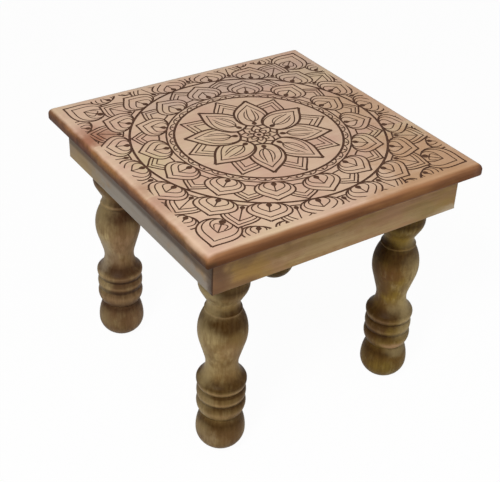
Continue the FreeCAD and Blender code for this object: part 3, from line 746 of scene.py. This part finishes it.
def stroke(points, width, taper=(1.0, 1.0)):
    # a drawn line; taper is the width's share at its two ends
    fine = evenly(points, 0.4)
    hidden = np.abs(fine).max(1) > ornament["half"] + 3
    for outline in covers:
        hidden |= inside(fine, outline)
    share = np.linspace(0, 1, len(fine))
    shape = np.interp(share, (0, 0.12, 0.5, 0.88, 1), (taper[0], 1, 1, 1, taper[1]))
    shown = np.flatnonzero(~hidden)
    if not len(shown):
        return
    for run in np.split(shown, np.flatnonzero(np.diff(shown) > 1) + 1):
        if len(run) < 4:
            continue
        part = evenly(fine[run], ornament["step"])
        widths = np.interp(np.linspace(0, 1, len(part)), np.linspace(0, 1, len(run)), shape[run]) * width
        strokes.append((part, widths))


def leafSide(length, half, way):
    # one side of a pointed petal along +X: a full belly, then a hollow run to the tip
    widest = (0.42 * length, 0.97 * half)
    belly = bezier([(0, 0), (-0.02 * length, 0.7 * half), (0.2 * length, half), widest])
    point = bezier([widest, (0.68 * length, 0.93 * half), (0.82 * length, 0.3 * half), (length, 0)])
    return np.concatenate([belly, point[1:]]) * (1, way)


def petal(angle, foot, tip, half, nested, veins=0, drop=0.0, spine=False, width=ornament["line"]):
    # a petal from foot to tip along an angle, with smaller outlines inside it, veins and a dark drop
    fine = ornament["fine"]
    length = tip - foot
    left, right = (leafSide(length, half, way) for way in (1, -1))
    for side in (left, right):
        stroke(turned(side, angle, foot), width, (0.9, 1.2))
    for share in nested:
        for side in (left, right):
            stroke(turned(side * share, angle, foot), fine, (0.7, 1.0))
    core = length * min(nested)
    start = core * 0.08 + drop * 2.4
    if drop:
        bead = np.array([(core * 0.04, 0.0), (start, 0.0)])
        strokes.append(fatDrop(turned(evenly(bead, 0.8), angle, foot), drop))
    if spine:
        line = np.array([(start - 1, 0.0), (core * 0.98, 0.0)])
        stroke(turned(line, angle, foot), fine, (1.3, 0.7))
    for i in range(veins):
        for way in (-1, 1):
            out = way * (i + 1) / (veins + 1)
            reach = core * (0.9 - 0.3 * abs(out))
            vein = bezier([(start - 1, 0), (core * 0.3, half * 0.75 * out), (core * 0.5, half * 0.7 * out),
                           (reach, half * 0.4 * out)])
            stroke(turned(vein, angle, foot), fine * 0.9, (1.2, 0.4))
    covers.append(turned(np.concatenate([left, right[::-1]]), angle, foot))


def fatDrop(points, radius):
    share = np.linspace(0, 1, len(points))
    widths = 2 * radius * np.sin(pi * np.clip(share, 0.02, 0.98) ** 0.7)
    return points, np.maximum(widths, 0.25)


def ring(radius, width):
    angles = np.linspace(0, 2 * pi, max(24, int(radius * 2.2)) + 1)
    stroke(np.stack([radius * np.cos(angles), radius * np.sin(angles)], 1), width)


def dot(radius, angle, size):
    points = evenly(turned(np.array([(radius - size, 0.0), (radius + size, 0.0)]), angle), size / 3)
    share = np.linspace(-1, 1, len(points))
    strokes.append((points, np.maximum(2 * size * np.sqrt(np.clip(1 - share ** 2, 0, 1)), 0.2)))


def petalRing(name):
    count, turn, *shape = ornament[name]
    for i in range(count):
        petal(360.0 * (i + turn) / count, *shape)


def beadBand():
    # small arches with a bead in each
    o = ornament
    inner, outer = o["beadCircles"]
    halfStep = pi * inner / o["beads"]
    rise = outer - inner - 1.0
    for i in range(o["beads"]):
        angle = 360.0 * i / o["beads"]
        arch = bezier([(0, -halfStep), (rise, -halfStep), (rise, halfStep), (0, halfStep)], 14)
        stroke(turned(arch, angle, inner), o["fine"])
        dot(inner + o["beadPlace"], angle, o["beadSize"])


def drawOrnament():
    o = ornament
    dot(0.0, 0.0, o["eyeDot"])
    ring(o["eyeCircle"], o["fine"])
    for name in ("eye", "lotus", "lotusBehind"):
        petalRing(name)
    ring(o["beadCircles"][0], o["bold"])
    beadBand()
    ring(o["beadCircles"][1], o["line"])
    for name in ("leaves", "leavesBehind"):
        petalRing(name)
    ring(o["outerCircle"], o["bold"])
    for name in ("outer", "outerBehind"):  # these run off the edge at the sides
        petalRing(name)
    for corner in (45, 135, 225, 315):
        for turn, *shape in o["spray"]:
            petal(corner + turn, *shape)


drawOrnament()
print("ornament drawn:", len(strokes), "strokes")


topShape = {
    "edgeRound": 6.4,
    "underRound": 3.0,
    "cornerRound": 2.2,
    "flatCornerRound": 0.9,
    "roundSteps": 10,
    "sideSteps": 3,
    "underSteps": 5,
    "edgeSteps": 90,
    "cornerSteps": 6,
    "grooveDepth": 0.4,
    "grainShift": (370.0, 210.0, 13.0),  # each board is cut from another part of the wood
}
boards = ("front_plank", "middle_plank", "back_plank")
topHalf = cadSize("middle_plank")[1].x
topUnder = cadSize("middle_plank")[0].z
topLevel = cadSize("middle_plank")[1].z
seams = [cadSize("front_plank")[1].y, cadSize("back_plank")[0].y]


def ringOutline(half, cornerRound):
    # a rounded square anticlockwise from the front-left, with as many points whatever its size
    edgeSteps, cornerSteps = topShape["edgeSteps"], topShape["cornerSteps"]
    run = half - cornerRound
    points = []
    for side in range(4):
        turn = Matrix.Rotation(side * pi / 2, 2)
        for i in range(edgeSteps):
            points.append(turn @ Vector((-run + 2 * run * i / edgeSteps, -half)))
        for i in range(cornerSteps):
            a = -pi / 2 + (pi / 2) * i / cornerSteps
            points.append(turn @ Vector((run + cornerRound * cos(a), -run + cornerRound * sin(a))))
    return points


def edgeProfile():
    # inset from the side, height, and share of the way from the flat top to the underside
    shape = topShape
    big, small = shape["edgeRound"], shape["underRound"]
    rows = []
    for i in range(shape["roundSteps"] + 1):
        a = pi / 2 * i / shape["roundSteps"]
        rows.append((big - big * sin(a), topLevel - big + big * cos(a)))
    for i in range(1, shape["sideSteps"]):
        low = topUnder + small
        rows.append((0.0, topLevel - big + (low - topLevel + big) * i / shape["sideSteps"]))
    for i in range(shape["underSteps"] + 1):
        a = pi / 2 * i / shape["underSteps"]
        rows.append((small - small * cos(a), topUnder + small - small * sin(a)))
    gaps = [0.0] + [dist(*pair) for pair in zip(rows, rows[1:])]
    run = np.cumsum(gaps) / sum(gaps)
    return [(inset, height, share) for (inset, height), share in zip(rows, run)]


def ribbonQuads():
    # each stroke as a chain of quads whose corners are shared
    points, quads = [], []
    for line, widths in strokes:
        ahead = np.gradient(line, axis=0)
        ahead /= np.maximum(np.hypot(*ahead.T), 1e-9)[:, None]
        side = np.stack([-ahead[:, 1], ahead[:, 0]], 1) * widths[:, None] / 2
        first = len(points)
        for left, right in zip(line + side, line - side):
            points += [left, right]
        for a in range(first, first + 2 * len(line) - 2, 2):
            quads.append((a, a + 1, a + 3, a + 2))
    return points, quads


def clipQuad(quad, half):
    # a convex outline cut to the ornament's square
    for axis, way in ((0, 1), (0, -1), (1, 1), (1, -1)):
        kept = []
        for i, here in enumerate(quad):
            there = quad[(i + 1) % len(quad)]
            a, b = half - way * here[axis], half - way * there[axis]
            if a >= 0:
                kept.append(here)
            if a * b < 0:
                kept.append(here + (there - here) * (a / (a - b)))
        quad = kept
        if len(quad) < 3:
            return []
    return quad


def flatPattern(border):
    # the flat of the top cut up along its border, the seams and every stroke
    points, quads = ribbonQuads()
    places = [Vector(p) for p in border]
    edges = [(i, (i + 1) % len(border)) for i in range(len(border))]
    faces = []
    for quad in quads:
        outline = [np.asarray(points[i]) for i in quad]
        if max(np.abs(p).max() for p in outline) > ornament["half"]:
            outline = clipQuad(outline, ornament["half"])
        if len(outline) < 3:
            continue
        first = len(places)
        places += [Vector(p) for p in outline]
        faces.append(tuple(range(first, first + len(outline))))
    flatHalf = topHalf - topShape["edgeRound"]
    for seam in seams:
        first = len(places)
        places += [Vector((-flatHalf, seam)), Vector((flatHalf, seam))]
        edges.append((first, first + 1))
    verts, _, triangles, _, _, origins = geometry.delaunay_2d_cdt(places, edges, faces, 0, 1e-4)
    return verts, triangles, origins


def engravedTop():
    # the whole top as one closed mesh: flat with sunk lines, moulded edge, underside
    shape = topShape
    profile = edgeProfile()
    rounds = np.interp([inset for inset, _, _ in profile], (0, shape["edgeRound"]),
                       (shape["cornerRound"], shape["flatCornerRound"]))
    rings = [ringOutline(topHalf - inset, corner) for (inset, _, _), corner in zip(profile, rounds)]
    verts, triangles, origins = flatPattern(rings[0])

    bm = bmesh.new()
    run = bm.verts.layers.float.new("edgeRun")
    upper = [bm.verts.new((p.x, p.y, topLevel)) for p in verts]
    lower = {}

    def low(index):
        if index not in lower:
            lower[index] = bm.verts.new((verts[index].x, verts[index].y, topLevel - shape["grooveDepth"]))
        return lower[index]

    owners = {}  # which triangles have each edge, by whether they lie in a stroke
    for triangle, origin in zip(triangles, origins):
        deep = bool(origin)
        turn = list(triangle)
        a, b, c = (verts[i] for i in turn)
        if (b - a).cross(c - a) < 0:
            turn.reverse()
        for i in range(3):
            owners.setdefault((turn[i], turn[(i + 1) % 3]), deep)
        face = bm.faces.new([low(i) if deep else upper[i] for i in turn])
        face.material_index = 1 if deep else 0
    for (a, b), deep in owners.items():
        if deep and owners.get((b, a)) is False:
            wall = bm.faces.new((upper[a], upper[b], low(b), low(a)))
            wall.material_index = 1
    for vert in [v for v in bm.verts if not v.link_faces]:
        bm.verts.remove(vert)

    rows = []
    for (inset, height, share), outline in zip(profile, rings):
        rows.append([bm.verts.new((p.x, p.y, height)) for p in outline])
        for vert in rows[-1]:
            vert[run] = share
    joinRows(bm, rows)
    bm.faces.new(rows[-1][::-1])
    bmesh.ops.remove_doubles(bm, verts=bm.verts, dist=0.002)
    toMetres(bm)
    return bm


def cutPlank(whole, front, back):
    # one board of the top, with its seam faces closed
    bm = whole.copy()
    for place, way in ((front, -1), (back, 1)):
        if abs(place) >= topHalf:
            continue
        geom = list(bm.verts) + list(bm.edges) + list(bm.faces)
        cut = bmesh.ops.bisect_plane(bm, geom=geom, plane_co=(0, place * mm, 0), plane_no=(0, way, 0),
                                     dist=1e-7, clear_outer=True)
        rim = [e for e in cut["geom_cut"] if isinstance(e, bmesh.types.BMEdge) and len(e.link_faces) == 1]
        bmesh.ops.holes_fill(bm, edges=rim, sides=0)
    return bm


def makeTop():
    whole = engravedTop()
    print("top engraved:", len(whole.faces), "faces")
    limits = [-topHalf, *seams, topHalf]
    for number, name in enumerate(boards):
        bm = cutPlank(whole, limits[number], limits[number + 1])
        middle = (limits[number] + limits[number + 1]) / 2
        shift = np.array(topShape["grainShift"]) * (number + 1) - np.array([0, middle, topLevel])
        grain = [(np.array(vert.co) / mm + shift) * mm for vert in bm.verts]
        pieceFrom(name + "_moulded", bm, [makeTopWood(name), burntLine], name, "top_wood", grainPlace=grain)
    whole.free()


makeTop()
print("top made")


apronShape = {
    "lowerRound": 1.2,
    "roundSteps": 4,
    "endRound": 0.8,
    "mitreGap": 0.06,
    "seamWidth": 1.1,
    "seamInside": 0.3,
    "endSteps": (0.0, 0.15, 0.35, 0.65, 1.1, 2.2),
    "plainEnd": 6.0,
    "stations": 70,
    "rows": 12,
    "grainShift": (530.0, 110.0, 17.0),
}
apronHalf = cadSize("front_apron")[1].x
apronFoot = cadSize("front_apron")[0].z
apronHead = cadSize("front_apron")[1].z
apronDepth = cadSize("front_apron")[1].y - cadSize("front_apron")[0].y


def apronSection():
    # depth from the outer face and height, round the board's section
    r, steps, rows = (apronShape[key] for key in ("lowerRound", "roundSteps", "rows"))
    angles = [pi / 2 * i / steps for i in range(steps + 1)]
    points = [(r - r * cos(a), apronFoot + r - r * sin(a)) for a in angles]
    points += [(apronDepth - r + r * sin(a), apronFoot + r - r * cos(a)) for a in angles]
    points += [(apronDepth, apronHead), (0.0, apronHead)]
    points += [(0.0, apronHead + (apronFoot + r - apronHead) * i / rows) for i in range(1, rows)]
    return points


def makeApron(side, turns):
    shape = apronShape
    section = apronSection()
    ends = shape["endSteps"]
    plain = apronHalf - shape["plainEnd"]
    inner = np.linspace(-plain, plain, shape["stations"])
    bm = bmesh.new()
    seam = bm.verts.layers.float.new("seam")
    rows = []
    stations = [("low", e) for e in ends] + [("mid", x) for x in inner]
    stations += [("high", e) for e in reversed(ends)]
    for kind, value in stations:
        row = []
        for depth, height in section:
            reach = apronHalf - shape["mitreGap"] - depth
            if kind == "mid":
                x, near = value * reach / apronHalf, 0.0
            else:
                x = (reach - value) * (-1 if kind == "low" else 1)
                near = max(0.0, 1 - value / shape["seamWidth"])
            inset = shape["endRound"] * near ** 2 if depth < 0.01 else 0.0
            vert = bm.verts.new((x, -apronHalf + depth + inset, height))
            vert[seam] = near if depth < apronDepth - 0.01 else shape["seamInside"]
            row.append(vert)
        rows.append(row)
    joinRows(bm, rows)
    bm.faces.new(rows[0])
    bm.faces.new(rows[-1][::-1])
    own = np.array([(v.co.x, v.co.z - apronFoot, v.co.y + apronHalf) for v in bm.verts])
    bmesh.ops.rotate(bm, verts=bm.verts, cent=(0, 0, 0), matrix=Matrix.Rotation(turns * pi / 2, 3, "Z"))
    toMetres(bm)
    grain = (own + np.array(shape["grainShift"]) * (turns + 1)) * mm
    pieceFrom(side + "_apron_board", bm, [makeApronWood(side)], side + "_apron", "apron_wood",
              boardPlace=own, grainPlace=grain)


for side, turns in sides.items():
    makeApron(side, turns)
print("aprons made")


legShape = {
    "headAboveApronFoot": 1.0,
    "halfBlock": 25.0,
    "pommelRise": 6.0,
    "segments": 96,
    "step": 1.2,
    "ridge": 0.05,
    "ridgesPerMillimetre": 2.4,  # in radians
    "outOfRound": 0.12,
    "stainAndShadeWobble": 0.7,
    "blockStain": 0.4,
    "seed": 11,
    "grainShift": (610.0, 4.0),
    # how dark each height is, partly stain and partly painted shade: it lies in the grooves and on the
    # upward-facing shoulders below them
    "stainAndShadeLine": [
        (0, 0.6), (6, 0.35), (14, 0.3), (22, 0.3), (30, 0.52), (36, 0.92), (40, 0.75), (43, 0.45), (48, 0.12),
        (52, 0.2), (55, 0.5), (58, 0.75), (60, 0.97), (62.6, 0.9), (64.6, 0.25), (66.5, 0.15), (69, 0.45),
        (71.5, 0.6), (73.5, 0.95), (75.8, 0.97), (77, 0.3), (80.5, 0.12), (82, 0.45), (84, 0.85), (89, 0.9),
        (93, 0.55), (98, 0.25), (106, 0.05), (118, 0.1), (130, 0.0), (142, 0.25), (148, 0.5), (154, 0.9),
        (161, 0.97), (165, 0.88), (166.4, 0.55), (168, 0.95), (171, 0.88), (174, 0.45), (177, 0.1),
        (180, 0.15), (184, 0.35), (190, 0.28), (197, 0.85), (204, 0.6), (214, 0.7),
    ],
    # the pale rims, partly worn and partly painted light on the slopes below them: height, reach, strength
    "lightBands": [(79.6, 1.3, 0.4), (65.8, 1.1, 0.35), (51.5, 2.4, 0.2), (166.5, 0.8, 0.35)],
    # how far up each leg's bands of stain and painted shade sit, at the ankle, the rim and the collar
    "shiftHeights": (50, 80, 160),
    "shift": {
        "front_left": (0.8, 0.0, 0.0), "front_right": (1.5, 1.5, 1.0), "back_right": (0.0, 0.0, 0.0),
        "back_left": (4.0, 3.2, 2.0),
    },
}
legHead = apronFoot + legShape["headAboveApronFoot"]


def turnedProfile(node, centre):
    # radius and height of the turned part in millimetres, read from the CAD solid, from the sole up
    found = {}
    for vert in node.data.vertices:
        height = vert.co.z / mm
        if height > legHead - 0.01:
            continue
        radius = hypot(vert.co.x / mm - centre[0], vert.co.y / mm - centre[1])
        key = round(height, 3)
        found[key] = max(found.get(key, 0.0), radius)
    heights = sorted(found)
    rows = []
    for low, high in zip(heights, heights[1:]):
        steps = max(1, ceil((high - low) / legShape["step"]))
        for i in range(steps):
            share = i / steps
            rows.append((found[low] + (found[high] - found[low]) * share, low + (high - low) * share))
    return rows + [(found[heights[-1]], heights[-1])]


# how pale a height is on the rims: wear and painted light
def wornAndLitAt(height):
    bands = legShape["lightBands"]
    return min(1.0, sum(most * exp(-((height - middle) / reach) ** 2) for middle, reach, most in bands))


def makeLeg(corner, number):
    shape = legShape
    low, high = cadSize(corner + "_leg")
    centre = ((low.x + high.x) / 2, (low.y + high.y) / 2)
    profile = turnedProfile(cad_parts[corner + "_leg"], centre)
    angles = [2 * pi * i / shape["segments"] for i in range(shape["segments"])]
    phase = np.random.default_rng(shape["seed"] + number).uniform(0, 2 * pi, 4)
    bm = bmesh.new()
    groove = bm.verts.layers.float.new("groove")
    crest = bm.verts.layers.float.new("crest")
    rows = []
    for radius, height in profile:
        ridge = 0.0
        if 3 < height < legHead - 2:
            ridge = shape["ridge"] * (sin(height * shape["ridgesPerMillimetre"] + phase[0]) - 1)
        row = []
        band = height - np.interp(height, shape["shiftHeights"], shape["shift"][corner])
        for a in angles:
            oval = shape["outOfRound"] * 0.5 * (cos(2 * a + phase[1]) - 1)
            r = radius + ridge + oval
            wobble = shape["stainAndShadeWobble"] * (sin(2 * a + phase[2]) + 0.6 * sin(5 * a + phase[3]))
            vert = bm.verts.new((r * cos(a), r * sin(a), height))
            # the dark bands are stain and painted shade; the pale rims are wear and painted light
            vert[groove] = np.interp(band + wobble * 0.6, *zip(*shape["stainAndShadeLine"]))
            vert[crest] = wornAndLitAt(band + wobble * 0.15)
            row.append(vert)
        rows.append(row)
    # the round end runs out to the square block over the pommel
    half = shape["halfBlock"]
    slope = shape["pommelRise"] / (half * (sqrt(2) - 1))
    square = [half / max(abs(cos(a)), abs(sin(a))) for a in angles]
    blockRows = [[(profile[-1][0], legHead)] * len(angles), [(half, legHead)] * len(angles)]
    blockRows.append([(r, legHead + (r - half) * slope) for r in square])
    blockRows.append([(r, high.z) for r in square])
    for line in blockRows:
        row = [bm.verts.new((r * cos(a), r * sin(a), height)) for a, (r, height) in zip(angles, line)]
        for vert in row:
            vert[groove] = shape["blockStain"]
        rows.append(row)
    joinRows(bm, rows, upward=True)
    bm.faces.new(rows[0][::-1])
    bm.faces.new(rows[-1])
    bmesh.ops.remove_doubles(bm, verts=bm.verts, dist=1e-4)
    own = np.array([vert.co for vert in bm.verts])
    bmesh.ops.translate(bm, verts=bm.verts, vec=(centre[0], centre[1], 0))
    toMetres(bm)
    along, across = shape["grainShift"]
    grain = (own[:, [2, 0, 1]] + np.array([along * (number + 1), across * number, 0.0])) * mm
    pieceFrom(corner + "_leg_turned", bm, [makeLegWood(corner)], corner + "_leg", "leg_wood",
              legPlace=own, grainPlace=grain)


for number, corner in enumerate(corners):
    makeLeg(corner, number)
print("legs made")


# the wood screws, seen only from below: a cross recess in the head and a cut thread

screwShape = {
    "headRadius": 3.5,
    "headDepth": 1.75,
    "headEdge": 0.15,
    "shankRadius": 1.75,
    "threadDepth": 0.35,
    "pitch": 1.4,
    "rowsPerTurn": 6,
    "plainLength": 8.0,
    "pointLength": 4.0,
    "recessHalf": 1.9,
    "recessArm": 0.45,
    "recessDepth": 1.1,
    "recessFloor": 0.55,
    "segments": 24,
    "turnPerScrew": 0.7,
}


def islands(bm):
    # the vertices of each separate solid, in millimetres
    seen = set()
    for start in bm.verts:
        if start in seen:
            continue
        island, waiting = [], [start]
        seen.add(start)
        while waiting:
            vert = waiting.pop()
            island.append(vert.co / mm)
            for edge in vert.link_edges:
                other = edge.other_vert(vert)
                if other not in seen:
                    seen.add(other)
                    waiting.append(other)
        yield np.array(island)


def screwPlaces(node):
    # the head's middle, the way in, and the length of each screw of a CAD node
    bm = bmesh.new()
    bm.from_mesh(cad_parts[node].data)
    bmesh.ops.remove_doubles(bm, verts=bm.verts, dist=1e-6)
    found = []
    for points in islands(bm):
        low, high = points.min(0), points.max(0)
        axis = int(np.argmax(high - low))
        ends = [points[np.abs(points[:, axis] - level) < 0.01] for level in (low[axis], high[axis])]
        lowIsHead = len(ends[0]) > len(ends[1])
        head = (low + high) / 2
        head[axis] = low[axis] if lowIsHead else high[axis]
        way = np.zeros(3)
        way[axis] = 1.0 if lowIsHead else -1.0
        found.append((Vector(head), Vector(way), high[axis] - low[axis]))
    bm.free()
    return found


def screwRows(length):
    # distance from the top of the head, radius and thread share
    s = screwShape
    shank, plainLength, perTurn = s["shankRadius"], s["plainLength"], s["rowsPerTurn"]
    rows = [(s["headEdge"], s["headRadius"], 0.0), (s["headDepth"], shank, 0.0), (plainLength, shank, 0.0)]
    steps = int((length - plainLength) / (s["pitch"] / perTurn))
    for i in range(1, steps):
        along = plainLength + (length - plainLength) * i / steps
        radius = shank * min(1.0, (length - along) / s["pointLength"])
        rows.append((along, radius, min(1.0, i / perTurn)))
    return rows


def addScrew(bm, length, matrix):
    s = screwShape
    count = s["segments"]
    half, arm = s["recessHalf"], s["recessArm"]
    circle = [(cos(2 * pi * i / count), sin(2 * pi * i / count)) for i in range(count)]
    cross = []
    for x, y in circle:
        small, large = sorted((abs(x), abs(y)))
        r = half / large if small * half <= arm * large else arm / small
        cross.append((r * x, r * y))
    rings = [[(x * s["recessFloor"], y * s["recessFloor"], s["recessDepth"]) for x, y in cross]]
    rings.append([(x, y, 0.0) for x, y in cross])
    rim = s["headRadius"] - s["headEdge"]
    rings.append([(x * rim, y * rim, 0.0) for x, y in circle])
    for along, radius, thread in screwRows(length):
        loop = []
        for i, (x, y) in enumerate(circle):
            turn = (along / s["pitch"] - i / count) % 1.0
            cut = 1 - max(0.0, 1 - 3 * abs(turn - 0.5))
            r = radius * (1 - thread * s["threadDepth"] / s["shankRadius"] * cut)
            loop.append((r * x, r * y, along))
        rings.append(loop)
    rows = [[bm.verts.new(matrix @ Vector(p)) for p in loop] for loop in rings]
    tip = bm.verts.new(matrix @ Vector((0, 0, length)))
    joinRows(bm, rows, upward=True)
    bm.faces.new(rows[0][::-1])
    for i in range(count):
        bm.faces.new((rows[-1][i], rows[-1][(i + 1) % count], tip))


def makeScrews(node):
    bm = bmesh.new()
    for number, (head, way, length) in enumerate(screwPlaces(node)):
        spin = Matrix.Rotation(screwShape["turnPerScrew"] * number, 4, "Z")
        turn = way.to_track_quat("Z", "Y").to_matrix().to_4x4() @ spin
        addScrew(bm, length, Matrix.Translation(head) @ turn)
    toMetres(bm)
    pieceFrom(node + "_threaded", bm, [screwSteel], node, "screw_steel")


for node in ("cleat_to_apron_screws", "cleat_to_top_screws"):
    makeScrews(node)
print("screws made")


def dressSolid(node, material):
    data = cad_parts[node].data
    data.materials.clear()
    data.materials.append(material)


alongX = makeBattenWood("battenWoodX", "XYZ")
alongY = makeBattenWood("battenWoodY", "YXZ")
for side, turns in sides.items():
    dressSolid(side + "_cleat", alongX if turns % 2 == 0 else alongY)
dressSolid("plank_dowels", alongY)
dressSolid("apron_dowels", alongX)
print("cleats and dowels dressed")


# floor and light

studio = {
    "white": (1, 1, 1, 1),
    "floorSize": 12.0,
    "floorColour": (0.86, 0.86, 0.86, 1.0),
    "floorOwnShare": 0.035,
    "worldStrength": 0.26,
    "lamps": [
        # name, place, size, watts
        ("leftLamp", (-0.9, -0.64, 1.38), 0.4, 18.5),
        ("frontLamp", (0.2, -1.7, 0.45), 0.9, 6.0),
        ("rightLamp", (1.6, -0.7, 0.5), 0.9, 5.0),
    ],
    "aim": (0.0, 0.0, 0.16),
}


def seenRays(tree):
    # 1 for what the camera sees straight, mirrored or through glass
    path = addNode(tree, "LightPath").outputs
    seen = sums(tree, "MAXIMUM", path["Is Camera Ray"], path["Is Glossy Ray"])
    return sums(tree, "MAXIMUM", seen, path["Is Transmission Ray"])


def blend(tree, share, first, second, output):
    mixed = addNode(tree, "MixShader", {"Fac": share, 1: first.outputs[0], 2: second.outputs[0]})
    addNode(tree, output, {"Surface": mixed.outputs[0]})


def makeFloor():
    material = bpy.data.materials.new("paleFloor")
    tree = clearedTree(material)
    lit = addNode(tree, "BsdfDiffuse", {"Color": studio["floorColour"]})
    white = addNode(tree, "Emission", {"Color": studio["white"], "Strength": 1.0})
    share = sums(tree, "MULTIPLY", seenRays(tree), 1 - studio["floorOwnShare"])
    blend(tree, share, lit, white, "OutputMaterial")
    bpy.ops.mesh.primitive_plane_add(size=studio["floorSize"])
    floor = bpy.context.active_object
    floor.name = "paleFloor"
    floor.data.materials.append(material)
    floor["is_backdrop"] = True


def makeWorld():
    world = bpy.data.worlds.new("studioWorld")
    bpy.context.scene.world = world
    tree = clearedTree(world)
    soft, white = (addNode(tree, "Background", {"Color": studio["white"], "Strength": strength})
                   for strength in (studio["worldStrength"], 1.0))
    blend(tree, seenRays(tree), soft, white, "OutputWorld")


def makeLamps():
    for name, place, size, watts in studio["lamps"]:
        data = bpy.data.lights.new(name, "AREA")
        data.shape = "DISK"
        data.size = size
        data.energy = watts
        lamp = bpy.data.objects.new(name, data)
        lamp.location = place
        lamp.rotation_euler = (Vector(studio["aim"]) - Vector(place)).to_track_quat("-Z", "Y").to_euler()
        bpy.context.scene.collection.objects.link(lamp)


makeFloor()
makeWorld()
makeLamps()
bpy.context.scene.view_settings.view_transform = "Standard"
print("studio lit")


def plain(box):
    return [[float(value) for value in corner] for corner in box]


{"cad": plain(cadBox), "visual": plain(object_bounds())}
